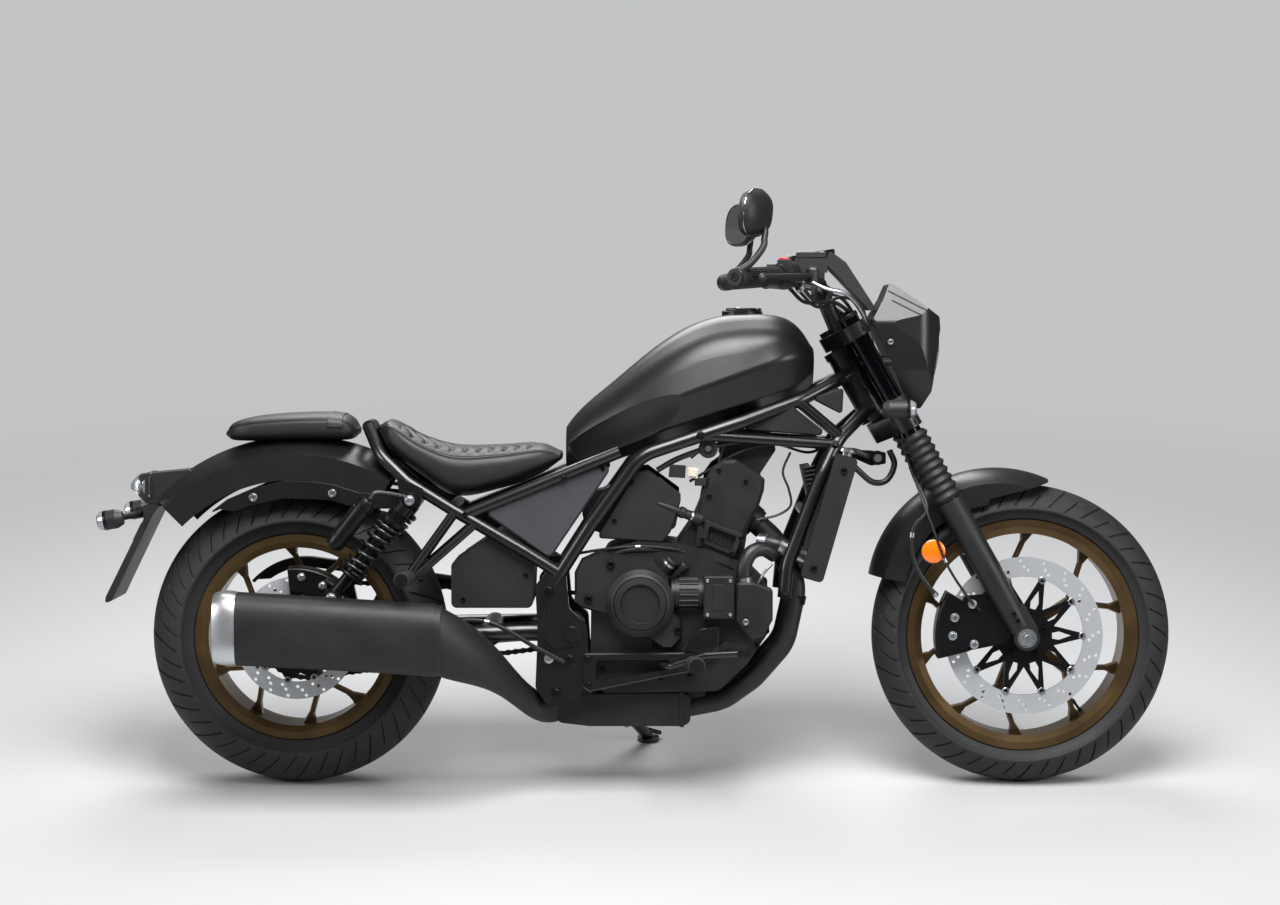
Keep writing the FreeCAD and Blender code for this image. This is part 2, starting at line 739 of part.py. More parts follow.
def steering_head():
    """The head tube and the cross tubes behind it."""
    bottom = size("lower_yoke_bottom") + size("lower_yoke_height") + size("yoke_clearance")
    top = size("upper_yoke_bottom") - size("yoke_clearance")
    radius = size("head_tube_radius")
    outer = joined(
        rod(on_steering_axis(bottom), on_steering_axis(top), radius),
        rod(on_steering_axis(bottom), on_steering_axis(bottom + 14), radius + 3),
        rod(on_steering_axis(top - 14), on_steering_axis(top), radius + 3),
    )
    inner = rod(on_steering_axis(bottom - 5), on_steering_axis(top + 5),
                size("stem_radius") + size("axle_clearance"))
    cross_high = rod(at(930, -118, 762), at(930, 118, 762), size("strut_radius"))
    cross_low = rod(at(1060, -108, 575), at(1060, 108, 575), size("strut_radius"))
    return finish("frame_head", Part.makeCompound([outer.cut(inner), cross_high, cross_low]))


def frame_side():
    """The right half of the frame: upper tube, down tube, braces and pivot plate."""
    main = tube([
        on_steering_axis(655, -20), at(1050, -85, 809), at(924, -118, 763),
        at(717, -138, 695), at(614, -138, 551), at(529, -134, 417), at(521, -130, 300),
    ], size("main_tube_radius"), 90)
    down = tube([
        on_steering_axis(575, -22), at(1129, -84, 727), at(1095, -105, 657),
        at(1022, -122, 470), at(1016, -124, 400),
    ], size("down_tube_radius"), 90)
    brace = rod(at(842, -128, 736), at(1122, -88, 716), size("strut_radius"))
    diagonal = rod(at(1043, -88, 810), at(1132, -86, 735), size("strut_radius"))
    inner = -size("pivot_half_width") + size("pivot_plate_thickness") / 2
    outer = inner - size("pivot_plate_thickness")
    plate = side_plate(
        [(500, 425), (536, 472), (562, 466), (570, 378), (606, 345), (612, 250), (590, 190),
         (525, 176), (500, 215), (505, 330)],
        outer, inner, 14,
    )
    guard = cover([(520, 424), (536, 452), (558, 456), (562, 374), (597, 341), (599, 321), (588, 300), (536, 297),
                   (520, 308)], outer, outer - 5, 8, 2)
    pivot = Vector(size("pivot_forward"), outer - 5, size("pivot_height"))
    cap = collar(pivot, pivot - Vector(0, 5, 0), 17)
    return joined(main, down, brace, diagonal, plate, guard, cap)


def rear_subframe():
    """The seat loop, the seat rail and the shock gusset on each side."""
    radius = size("seat_tube_radius")
    outside = size("swingarm_half_width") + size("lug_reach")
    sides = []
    for side in (-1, 1):
        loop = tube([
            at(149, side * 52, 752), at(178, side * 104, 694), at(236, side * 124, 640),
            at(327, side * 130, 584), at(479, side * 134, 496), at(545, side * 136, 455),
        ], radius, 70)
        rail = rod(at(352, side * 130, 572), at(675, side * 136, 703), radius)
        gusset = side_plate(
            [(212, 655), (272, 625), (262, 588), (226, 588)],
            side * (outside - 26), side * outside, 8,
        )
        sides += [loop, rail, gusset]
    hoop = rod(at(149, -56, 752), at(149, 56, 752), radius)
    bridge = rod(at(327, -130, 584), at(327, 130, 584), radius)
    return joined(hoop, bridge, *sides)


def build_frame():
    """The frame's four pieces, coped where they meet."""
    steering_head()
    through_head = rod(on_steering_axis(size("lower_yoke_bottom")),
                       on_steering_axis(size("upper_yoke_bottom")), size("head_tube_radius"))
    side = trimmed(frame_side().cut(through_head), "frame_head")
    finish("frame_right", side)
    left = side.mirror(Vector(0, 0, 0), Vector(0, 1, 0))
    finish("frame_left", joined(left, stand_bracket()))
    finish("rear_subframe", trimmed(rear_subframe(), "frame_right", "frame_left"))


def crankcase():
    """The engine's lower block with its sump, front cover, gear motor and its control box."""
    half = size("case_half_width")
    case = side_plate(
        [(614, 300), (616, 440), (650, 500), (720, 520), (860, 500), (935, 470), (985, 420),
         (985, 330), (940, 262), (880, 205), (640, 200), (614, 240)],
        -half, half, 22,
    )
    sump = side_plate([(640, 205), (860, 205), (840, 152), (660, 152)], -80, 80, 14)
    front = cover([(915, 433), (951, 433), (991, 419), (991, 356), (972, 322), (947, 314), (913, 356)],
                  -half, -half - 34, 8, 4)
    front_left = cover([(905, 433), (951, 433), (991, 419), (991, 356), (972, 322), (905, 314)],
                       half, half + 24, 8, 4)
    box = cover([(848, 447), (911, 447), (911, 359), (848, 359)], -half, -half - 42, 4, 3)
    motor = joined(
        rod(at(782, -half, 408), at(850, -half, 408), 31),
        rod(at(790, -half, 408), at(796, -half, 408), 33.5),
        rod(at(838, -half, 408), at(844, -half, 408), 33.5),
    )
    rib = cover([(660, 262), (850, 262), (905, 300), (895, 312), (842, 278), (660, 278)], -half, -half - 10, 4, 2)
    block = joined(case, sump, front, front_left, box, motor, rib)
    return finish("crankcase", trimmed(block, "frame_right", "frame_left", "swingarm", "clutch_cover"))


def cylinders():
    """The two leaning cylinders with their head, its cover and the port frames."""
    half = size("head_half_width")
    outline = [
        (855, 652), (868, 671), (888, 685), (916, 686), (976, 646), (974, 622), (962, 585), (932, 533),
        (914, 464), (832, 502), (836, 545),
    ]
    block = side_plate([(775, 480), (925, 440), (940, 535), (960, 612), (915, 660), (870, 655), (830, 560)],
                       -half, half, 12)
    frame = [(853, 561), (930, 531), (913, 485), (842, 514)]
    window = [(861, 549), (917, 527), (906, 497), (853, 518)]
    parts = [block]
    for side in (-1, 1):
        face = cover(outline, side * (half - 1), side * (half + 20), 8, 7)
        port = cover(frame, side * (half + 19), side * (half + 30), 3, 2)
        near, far = sorted((side * (half + 14), side * (half + 32)))
        parts.append(joined(face, port).cut(side_plate(window, near, far, 3)))
    for left in (-52, 52):
        parts.append(rod(at(905, left, 664), at(926, left, 703), 26, 22))
    shape = joined(*parts)
    return finish("cylinder_head", trimmed(shape, "crankcase", "frame_right", "frame_left"))


def clutch_cover():
    """The round clutch cover on the right, on its long cast base."""
    body = new_body("clutch_cover_body")
    base = sketch_on(body, "clutch_outline", "XZ_Plane", "Sizes.case_half_width")
    bound_polygon(base, [(str(x), str(z)) for x, z in CLUTCH_OUTLINE])
    base_pad = padded(body, base, "Sizes.cover_depth", "Base")
    base_pad.TaperAngle = -CAST_DRAFT
    s = "Sizes."
    flank, drum, eye = f"{s}case_half_width", f"{s}clutch_radius", f"{s}clutch_eye_radius"
    step = f"({flank} + {s}cover_depth)"
    turned = sketch_on(body, "clutch_drum", "XY_Plane")
    bound_polygon(turned, [
        ("0", f"-{flank}"), (drum, f"-{flank}"), (drum, f"-{step} - 10"), (f"{drum} - 10", f"-{step} - 20"),
        (f"{eye} + 6", f"-{step} - 22"), (f"{eye} + 3", f"-{step} - 32"), (f"{eye} - 9", f"-{step} - 34"),
        (f"{eye} - 12", f"-{step} - 28"), ("0", f"-{step} - 28"),
    ])
    revolved(body, turned, "Drum")
    body.Placement = Placement(at(717, 0, 391), Rotation())
    finish("clutch_cover", body)


def left_covers():
    """The alternator cover and the chain's sprocket cover on the left."""
    half = size("case_half_width")
    hub = at(800, half, 350)
    shell = joined(
        rod(hub, hub + Vector(0, 34, 0), 90),
        rod(hub + Vector(0, 34, 0), hub + Vector(0, 44, 0), 90, 78),
        collar(hub + Vector(0, 44, 0), hub + Vector(0, 52, 0), 52, 4),
        *[
            rod(hub + turned_by(92, 60 * i), hub + turned_by(92, 60 * i) + Vector(0, 30, 0), 9)
            for i in range(6)
        ],
    )
    shell = trimmed(shell, "crankcase")
    finish("alternator_cover", shell)
    sprocket = cover([(618, 280), (618, 400), (660, 440), (705, 410), (705, 300), (660, 250)],
                     half, half + 34, 16, 5)
    finish("sprocket_cover", trimmed(sprocket, "frame_left", "alternator_cover", "crankcase"))


def turned_by(radius, angle):
    """An offset in the side view at an angle from straight ahead."""
    return Vector(radius * math.cos(math.radians(angle)), 0, radius * math.sin(math.radians(angle)))


def radiator():
    """The radiator core with its side tanks, leaning with the down tubes."""
    core = side_plate([(1124, 694), (1158, 686), (1090, 438), (1056, 446)], -124, 124, 4)
    tanks = [
        side_plate([(1122, 700), (1168, 688), (1094, 431), (1048, 444)], *sorted((side * 123, side * 142)), 10)
        for side in (-1, 1)
    ]
    frame = joined(core, *tanks)
    return finish("radiator", trimmed(frame, "frame_right", "frame_left", "frame_head"))


def exhaust():
    """Two header pipes, the collector below the engine and the muffler on the right."""
    parts = []
    for side in (-1, 1):
        parts.append(tube([
            at(948, side * 50, 560), at(1004, side * 54, 510), at(1046, side * 60, 420),
            at(1020, side * 66, 300), at(955, side * 68, 226), at(890, side * 68, 180),
            at(800, side * 64, 162),
        ], size("header_radius"), 90))
        parts.append(rod(at(944, side * 50, 564), at(962, side * 51, 548), size("header_radius") + 9))
    box = side_plate([(543, 191), (611, 195), (806, 197), (822, 190), (822, 136), (806, 128), (611, 128),
                      (543, 136)], -95, 95, 14)
    band = side_plate([(800, 199), (808, 199), (808, 126), (800, 126)], -97, 97, 1)
    stations = [
        (552, -62, 164, 30, 27), (497, -104, 176, 38, 32), (440, -160, 234, 46, 42),
        (375, -212, 288, 54, 60), (311, -240, 319, 57, 71),
    ]
    elbow = loft([
        oval(at(x, y, z), Vector(0, 1, 0), Vector(0, 0, 1), across, up, 2.3)
        for x, y, z, across, up in stations
    ])
    shape = joined(box, band, elbow, *parts)
    finish("exhaust_pipes", trimmed(shape, "crankcase", "cylinder_head", "frame_head",
                                    "frame_right", "frame_left"))
    power = 3.2
    body = loft([
        oval(at(x, -240, z), Vector(0, 1, 0), Vector(0, 0, 1), across, half, power)
        for x, z, across, half in ((-103, 347, 60, 74), (110, 335, 61, 73), (300, 323, 61, 73))
    ])
    front = loft([
        oval(at(x, -240, z), Vector(0, 1, 0), Vector(0, 0, 1), across, half, power)
        for x, z, across, half in ((300, 323, 59, 71), (313, 322, 58, 70))
    ])
    finish("muffler", trimmed(joined(body, front), "exhaust_pipes"))
    tip = loft([
        oval(at(x, -240, z), Vector(0, 1, 0), Vector(0, 0, 1), across, half, power)
        for x, z, across, half in ((-149, 349, 56, 70), (-140, 349, 59, 73), (-103.3, 347, 60, 74))
    ])
    mouth = rod(at(-160, -240, 350), at(-112, -240, 348), 34)
    finish("muffler_tip", tip.cut(mouth))


def tank_section(x, low, crease, high, half):
    """One cross section of the tank: a flat top, full flanks with a crease, an undercut below."""
    depth = high - low
    right = [
        Vector(x, half * 0.40, high), Vector(x, half * 0.86, high - depth * 0.26), Vector(x, half, crease),
        Vector(x, half * 0.84, low), Vector(x, half * 0.34, low - TANK_KEEL),
    ]
    ring = right + [Vector(p.x, -p.y, p.z) for p in reversed(right)]
    sharp = [70, 90, 22, 10, 30]
    return rounded_path(ring, sharp + list(reversed(sharp)), closed=True)


def fuel_tank():
    """The tank, lofted from the tail to the nose, with knee hollows and the seat of its cap."""
    half = size("tank_half_width")
    stations = [
        (562, 672, 700, 750, 0.46), (578, 678, 708, 772, 0.54), (651, 706, 745, 838, 0.76),
        (719, 730, 782, 895, 0.90), (800, 758, 818, 952, 0.98), (874, 784, 845, 981, 1.0),
        (960, 812, 876, 987, 0.98), (1030, 836, 898, 974, 0.84), (1060, 852, 900, 946, 0.65),
        (1080, 872, 894, 916, 0.44),
    ]
    sections = [tank_section(station(x), low, crease, high, half * share)
                for x, low, crease, high, share in stations]
    tank = loft(sections)
    for side in (-1, 1):
        nose = at(765, side * (half + 92), 772)
        tail = at(560, side * (half + 24), 668)
        hollow = rod(nose, tail, 112).fuse(Part.makeSphere(112, nose))
        tank = tank.cut(hollow)
    ring_top = cap_seat()
    ring = rod(ring_top - Vector(0, 0, 30), ring_top, size("cap_radius") + 8)
    reach, lug = size("cap_hinge_half_width"), size("cap_hinge_radius")
    lugs = [
        rod(cap_hinge() + Vector(0, side * (reach + 0.4), 0), cap_hinge() + Vector(0, side * (reach + 7), 0), lug)
        for side in (-1, 1)
    ]
    width = 2 * (reach + 7)
    footing = Part.makeBox(12, width, 14, cap_hinge() + Vector(-6, -width / 2, -17))
    gap = 2 * (reach + 0.4)
    slot = Part.makeBox(40, gap, 30, cap_hinge() + Vector(-20, -gap / 2, -lug - 0.5))
    shape = joined(tank, ring, footing, *lugs).cut(slot)
    shape = trimmed(shape, "frame_right", "frame_left", "frame_head", "rear_subframe")
    return finish("fuel_tank", max(shape.Solids, key=lambda solid: solid.Volume))


def cap_seat():
    """The middle of the filler ring's flat top."""
    return at(930, 0, 992)


def cap_hinge():
    """The middle of the cap's hinge pin, ahead of the cap."""
    return cap_seat() + Vector(size("cap_radius") + 5, 0, 4.4)


def fuel_cap():
    """The filler cap, which hinges open at its front edge."""
    seat = cap_seat() + Vector(0, 0, 0.3)
    disc = collar(seat, seat + Vector(0, 0, size("cap_height")), size("cap_radius"))
    reach = size("cap_hinge_half_width")
    knuckle = rod(cap_hinge() + Vector(0, -reach, 0), cap_hinge() + Vector(0, reach, 0), size("cap_hinge_radius"))
    strap = Part.makeBox(14, 2 * reach, 4, cap_hinge() + Vector(-14, -reach, -2))
    return finish("fuel_cap", joined(disc, knuckle, strap))


def seat_section(x, low, high, half):
    """One cross section of a seat."""
    return oval(at(x, 0, (low + high) / 2), Vector(0, 1, 0), Vector(0, 0, 1), half, (high - low) / 2, 3.0, 12)


def seats():
    """The rider's scooped seat and the pillion pad on the fender."""
    stations = [
        (172, 738, 760, 56), (195, 700, 770, 98), (258, 650, 736, 122), (330, 606, 716, 134),
        (430, 622, 716, 130), (510, 652, 719, 112), (550, 680, 702, 86),
    ]
    seat = loft([seat_section(*place) for place in stations])
    seat = trimmed(seat, "rear_subframe", "frame_right", "frame_left", "fuel_tank", "rear_fender")
    finish("rider_seat", max(seat.Solids, key=lambda solid: solid.Volume))
    stations = [
        (-146, 722, 752, 60), (-110, 720, 774, 88), (0, 722, 786, 98), (90, 722, 784, 92), (122, 728, 756, 70),
    ]
    pad = loft([seat_section(*place) for place in stations])
    pad = trimmed(pad, "rear_fender", "rear_subframe")
    finish("pillion_seat", max(pad.Solids, key=lambda solid: solid.Volume))


def fender(centre, radius, half_width, skirt, start, sweep):
    """A thin curved guard turned part of the way round a cross axis."""
    wall = size("fender_wall")
    crown = skirt * 0.4

    def section(r, half, inward):
        corners = [Vector(r - inward, half, 0), Vector(r - crown, half, 0), Vector(r, 0, 0)]
        corners += [Vector(p.x, -p.y, 0) for p in reversed(corners[:2])]
        a, b, c, d, e = corners
        return [Part.LineSegment(a, b), Part.Arc(b, c, d), Part.LineSegment(d, e)], a, e

    outer, first, last = section(radius, half_width, skirt)
    inner, inner_first, inner_last = section(radius - wall, half_width - wall, skirt - wall)
    lips = [Part.LineSegment(last, inner_last), Part.LineSegment(inner_first, first)]
    edges = [edge.toShape() for edge in outer + inner + lips]
    face = Part.Face(Part.Wire(Part.sortEdges(edges)[0]))
    face.rotate(Vector(0, 0, 0), Vector(0, 1, 0), -90 + start)
    solid = face.revolve(Vector(0, 0, 0), Vector(0, 1, 0), sweep)
    solid.translate(centre)
    return solid


def fenders():
    """The front fender between the fork legs, the rear one and the stays that carry it."""
    radius = size("front_fender_radius")
    shift = size("front_tyre_radius") + size("front_fender_gap") - radius
    back = math.radians(34.7)
    centre = FRONT_AXLE + Vector(-math.sin(back), 0, math.cos(back)) * shift
    half = size("fork_half_track") - size("boot_radius") - 0.3
    front = fender(centre, radius, half, size("front_fender_skirt"), -80, 104)
    below = [(-82, 246), (-74, 286), (0, 305), (31, 313), (62, 322), (140, 300), (140, 150), (0, 150)]
    lip = [FRONT_AXLE + Vector(x, -2 * half, z) for x, z in below]
    wedge = Part.Face(rounded_path(lip, 10, closed=True)).extrude(Vector(0, 4 * half, 0))
    finish("front_fender", front.cut(wedge))
    half = size("rear_fender_half_width")
    outer = half + size("stay_thickness")
    rear = fender(REAR_AXLE, size("rear_tyre_radius") + size("rear_fender_gap"), half,
                  size("rear_fender_skirt"), -45, 76)
    holes = [rod(at(x, -2 * half, z), at(x, 2 * half, z), size("stay_bolt_radius")) for x, z in STAY_BOLTS]
    rear = trimmed(rear, "rear_subframe")
    outline = [
        (-181, 572), (-154, 583), (-123, 579), (-89, 592), (-20, 606), (76, 601), (110, 590), (180, 584),
        (250, 584), (262, 610), (200, 612), (133, 618), (83, 634), (37, 641), (-20, 643), (-85, 627),
        (-139, 604),
    ]
    stay = trimmed(cover(outline, -half, -outer, 6, 1.5), "rear_subframe")
    pair = both_sides(stay)
    for hole in holes:
        rear = rear.cut(hole)
        pair = pair.cut(hole)
    finish("rear_fender", rear)
    finish("fender_stays", pair)


def side_covers():
    """The triangular covers below the seat and the box behind them."""
    right = cover([(388, 580), (672, 690), (530, 480)], -119, -133, 12, 4)
    right = trimmed(right, "rear_subframe", "frame_right")
    finish("side_covers", both_sides(right))
    floor = size("pivot_height") + 52
    box = side_plate([(325, floor), (494, floor), (498, 470), (420, 535), (325, 470)], -122, 82, 12)
    shelf = side_plate([(340, 440), (496, 440), (498, 470), (420, 535), (340, 480)], 80, 122, 12)
    box = trimmed(joined(box, shelf), "rear_subframe", "frame_right", "frame_left", "side_covers", "swingarm")
    finish("battery_box", max(box.Solids, key=lambda solid: solid.Volume))


def airbox():
    """The covers between the frame tubes and the throttle bodies below the tank."""
    middle = cover([(632, 523), (632, 536), (708, 662), (734, 665), (801, 616), (801, 599), (780, 536), (763, 515)],
                   -112, -126, 6, 3)
    rear = cover([(905, 748), (1034, 796), (1113, 734)], -90, -104, 8, 3)
    front = cover([(1073, 812), (1141, 835), (1138, 778)], -72, -84, 6, 3)
    panels = trimmed(Part.makeCompound([middle, rear, front]), "frame_head", "cylinder_head", "crankcase",
                     "frame_right")
    finish("airbox_panels", both_sides(panels))
    box = side_plate([(880, 664), (960, 644), (1000, 705), (990, 745), (900, 742)], -80, 80, 10)
    body = joined(box, rod(at(640, -70, 575), at(640, 70, 575), 44), side_plate(
        [(600, 560), (640, 620), (760, 640), (800, 600), (790, 540), (640, 530)], -112.5, 112.5, 16))
    body = trimmed(body, "frame_head", "cylinder_head", "crankcase", "fuel_tank", "frame_right", "frame_left",
                   "airbox_panels")
    finish("throttle_bodies", body)


def coil_over(top, low):
    """The damper, its spring and both spring seats, as one solid turned about their line."""
    length = (low - top).Length
    start, pitch, turns, root, crest = 60, 15, 9, 21, 29
    end = start + pitch * turns
    profile = [(0, 4), (20, 4), (20, start - 10), (31, start - 10), (31, start)]
    for i in range(turns):
        coil = start + pitch * i
        profile += [(root, coil + 1), (crest, coil + 5), (crest, coil + 10), (root, coil + 14)]
    profile += [(31, end), (31, end + 8), (14, end + 8), (14, length - 4), (0, length - 4)]
    outline = [Vector(across, 0, along) for across, along in profile]
    solid = Part.Face(Part.makePolygon(outline + [outline[0]])).revolve(Vector(0, 0, 0), Vector(0, 0, 1), 360)
    solid.Placement = Placement(top, Rotation(Vector(0, 0, 1), low - top))
    return solid


def shocks():
    """A coil-over shock each side, with its reservoir."""
    top, low = (at(x, -y, z) for x, y, z in (SHOCK_HEAD, SHOCK_FOOT))
    along = (low - top).normalize()
    eyes = [rod(p + Vector(0, -16, 0), p + Vector(0, 16, 0), 16) for p in (top, low)]
    head, foot = at(161, -194, 607), at(86, -194, 510)
    reservoir = joined(rod(head, foot, 20), rod(foot, foot + (foot - head).normalize() * 13, 20, 15))
    bridge = rod(top + along * 30, at(150, -194, 592), 9)
    unit = joined(coil_over(top, low), reservoir, bridge, *eyes)
    unit = trimmed(unit, "muffler", "rear_subframe", "rear_fender", "fender_stays", "swingarm")
    finish("shock_absorbers", both_sides(max(unit.Solids, key=lambda solid: solid.Volume)))


def tail():
    """Tail lamp, plate carrier and rear signals behind the fender."""
    lamp = side_plate([(-349, 622), (-331, 652), (-226, 662), (-209, 647), (-241, 607), (-268, 591), (-318, 591)],
                      -60, 60, 8)
    shield = [at(x, y, 560) for x, y in ((-356, -30), (-330, -52), (-200, -60), (-200, 60), (-330, 52), (-356, 30))]
    lamp = lamp.common(Part.Face(rounded_path(shield, 12, closed=True)).extrude(Vector(0, 0, 140)))
    finish("tail_lamp", trimmed(lamp, "rear_fender"))
    carrier = side_plate([(-318, 590), (-284, 590), (-300, 566), (-366, 430), (-385, 390), (-400, 384),
                          (-398, 398), (-318, 560)], -88, 88, 4)
    finish("plate_carrier", trimmed(carrier, "rear_fender", "tail_lamp"))
    stalk = rod(at(-320, -50, 572), at(-372, -163, 565), 7)
    front, rear = at(-360, -172, 567), at(-384, -172, 563)
    back = (rear - front).normalize()
    lens = joined(rod(front, rear, 20), rod(front, front - back * 14, 20, 14), rod(rear, rear + back * 8, 20, 15))
    signal = trimmed(joined(stalk, lens), "plate_carrier", "tail_lamp", "rear_fender")
    finish("rear_signals", both_sides(signal))


def foot_controls():
    """Rider pegs with pedals, and the folding pillion pegs on their struts."""
    start, end = at(822, -148, 264), at(832, -318, 279)
    along = (end - start).normalize()
    ribs = [rod(start + along * d, start + along * (d + 5), 17) for d in range(60, 165, 15)]
    peg = joined(rod(start, end, 14), *ribs)
    bracket = cover([(597, 286), (800, 288), (838, 292), (838, 250), (800, 244), (612, 206), (597, 216)],
                    -128, -150, 8, 3)
    lighten = side_plate([(625, 272), (780, 272), (780, 254), (625, 228)], -160, -120, 8)
    guard = cover([(804, 291), (813, 312), (842, 337), (879, 343), (881, 333), (877, 295), (863, 283)],
                  -146, -153, 5, 2)
    unit = joined(peg, bracket.cut(lighten), guard)
    unit = trimmed(unit, "crankcase", "clutch_cover", "frame_right", "exhaust_pipes")
    finish("rider_pegs", trimmed(both_sides(max(unit.Solids, key=lambda solid: solid.Volume)),
                                 "frame_left", "alternator_cover", "sprocket_cover"))
    pedal = tube([at(760, -146, 262), at(778, -176, 262), at(850, -184, 286), at(930, -200, 292)], 7, 24)
    pad = side_plate([(916, 300), (944, 300), (944, 286), (916, 286)], -222, -182, 4)
    lever = tube([at(760, 146, 262), at(778, 176, 262), at(850, 184, 286), at(930, 198, 292)], 7, 24)
    rubber = rod(at(930, 180, 294), at(930, 218, 294), 10)
    both = Part.makeCompound([joined(pedal, pad), joined(lever, rubber)])
    finish("foot_controls", trimmed(both, "rider_pegs", "clutch_cover", "alternator_cover", "sprocket_cover"))
    strut = joined(
        rod(at(332, -134, 578), at(240, -150, 450), 9),
        rod(at(374, -134, 552), at(246, -150, 440), 9),
        rod(at(240, -140, 445), at(232, -262, 447), 13),
        *[rod(at(233, -d, 446), at(233, -d - 5, 446), 16) for d in range(178, 250, 15)],
    )
    strut = trimmed(strut, "shock_absorbers", "rear_subframe", "rear_fender", "fender_stays", "muffler")
    finish("pillion_pegs", both_sides(max(strut.Solids, key=lambda solid: solid.Volume)))


def drive_chain():
    """One fixed loop of chain round both sprockets, with its plates' waists in the outline."""
    line, half = size("chain_line"), size("chain_width") / 2
    height, links = size("chain_height"), int(size("chain_links"))
    rear = size("rear_sprocket_radius") + CHAIN_SEAT + height / 2
    front = size("front_sprocket_radius") + CHAIN_SEAT + height / 2
    reach, rise = size("front_sprocket_forward"), size("pivot_height") + 12 - REAR_AXLE.z
    span, tilt = math.hypot(reach, rise), math.atan2(rise, reach)
    lead = math.acos((rear - front) / span)
    run = math.sqrt(span ** 2 - (rear - front) ** 2)
    front_arc, rear_arc = 2 * lead * front, 2 * (math.pi - lead) * rear
    length = 2 * run + front_arc + rear_arc

    def on_loop(distance, outward):
        """A point of the loop, so far along it and out of its middle line."""
        distance %= length
        if distance < run:
            angle = tilt + lead
            start = Vector(rear * math.cos(angle), 0, rear * math.sin(angle))
            end = Vector(reach + front * math.cos(angle), 0, rise + front * math.sin(angle))
            place = start + (end - start) * (distance / run)
        elif distance < run + front_arc:
            angle = tilt + lead - (distance - run) / front
            place = Vector(reach + front * math.cos(angle), 0, rise + front * math.sin(angle))
        elif distance < 2 * run + front_arc:
            angle = tilt - lead
            start = Vector(reach + front * math.cos(angle), 0, rise + front * math.sin(angle))
            end = Vector(rear * math.cos(angle), 0, rear * math.sin(angle))
            place = start + (end - start) * ((distance - run - front_arc) / run)
        else:
            angle = tilt - lead - (distance - 2 * run - front_arc) / rear
            place = Vector(rear * math.cos(angle), 0, rear * math.sin(angle))
        away = Vector(math.cos(angle), 0, math.sin(angle)) * outward
        return REAR_AXLE + place + away + Vector(0, line - half, 0)

    pitch = length / links
    rims = []
    for side in (1, -1):
        points = []
        for i in range(links):
            points.append(on_loop(i * pitch, side * height / 2))
            points.append(on_loop((i + 0.5) * pitch, side * height * 0.34))
        rims.append(Part.Face(Part.makePolygon(points + [points[0]])))
    band = rims[0].cut(rims[1]).extrude(Vector(0, 2 * half, 0))
    band = trimmed(band, "swingarm", "sprocket_cover", "crankcase", "frame_left", "frame_right")
    finish("drive_chain", band)


def calipers():
    """The front caliper with its bracket on the right slider, and the rear one over its disc."""
    gap, thick = size("caliper_gap"), size("disc_thickness")

    def caliper(axle, offset, disc_radius, inner, outer, start, sweep):
        """A block turned round the axle, with the disc's slot cut in it."""
        inside = -(offset - gap - 20)
        outside = -(offset + thick + gap + 24)
        block = Part.Face(rounded_path([
            Vector(inner, inside, 0), Vector(outer, inside, 0), Vector(outer, outside, 0), Vector(inner, outside, 0),
        ], 7, closed=True))
        slot = Part.Face(Part.makePolygon([
            Vector(inner - 1, -(offset - gap), 0), Vector(disc_radius + gap, -(offset - gap), 0),
            Vector(disc_radius + gap, -(offset + thick + gap), 0),
            Vector(inner - 1, -(offset + thick + gap), 0), Vector(inner - 1, -(offset - gap), 0),
        ]))
        face = block.cut(slot)
        face.rotate(Vector(0, 0, 0), Vector(0, 1, 0), start)
        solid = face.revolve(Vector(0, 0, 0), Vector(0, 1, 0), sweep)
        solid.translate(axle)
        return solid

    offset = size("front_disc_offset")
    front = caliper(FRONT_AXLE, offset, size("front_disc_radius"), 118, 188, 166, 44)
    near = offset + thick + gap
    plate = [(-130, 86), (-66, 92), (-22, 12), (-46, -14), (-124, -29), (-140, 0)]
    bracket = Part.Face(rounded_path([FRONT_AXLE + Vector(x, -near - 24, z) for x, z in plate], 8, closed=True))
    ears = [
        rod(FRONT_AXLE + Vector(x, -near - 18, z), FRONT_AXLE + Vector(x, -near - 32, z), 9)
        for x, z in ((-112, 70), (-108, -14))
    ]
    front = joined(front, bracket.extrude(Vector(0, 10, 0)), *ears)
    rear = joined(
        caliper(REAR_AXLE, size("rear_disc_offset"), size("rear_disc_radius"), 94, 150, -96, 44),
        rod(REAR_AXLE + Vector(68, -112, 92), REAR_AXLE + Vector(68, -134, 92), 9),
    )
    return front, rear


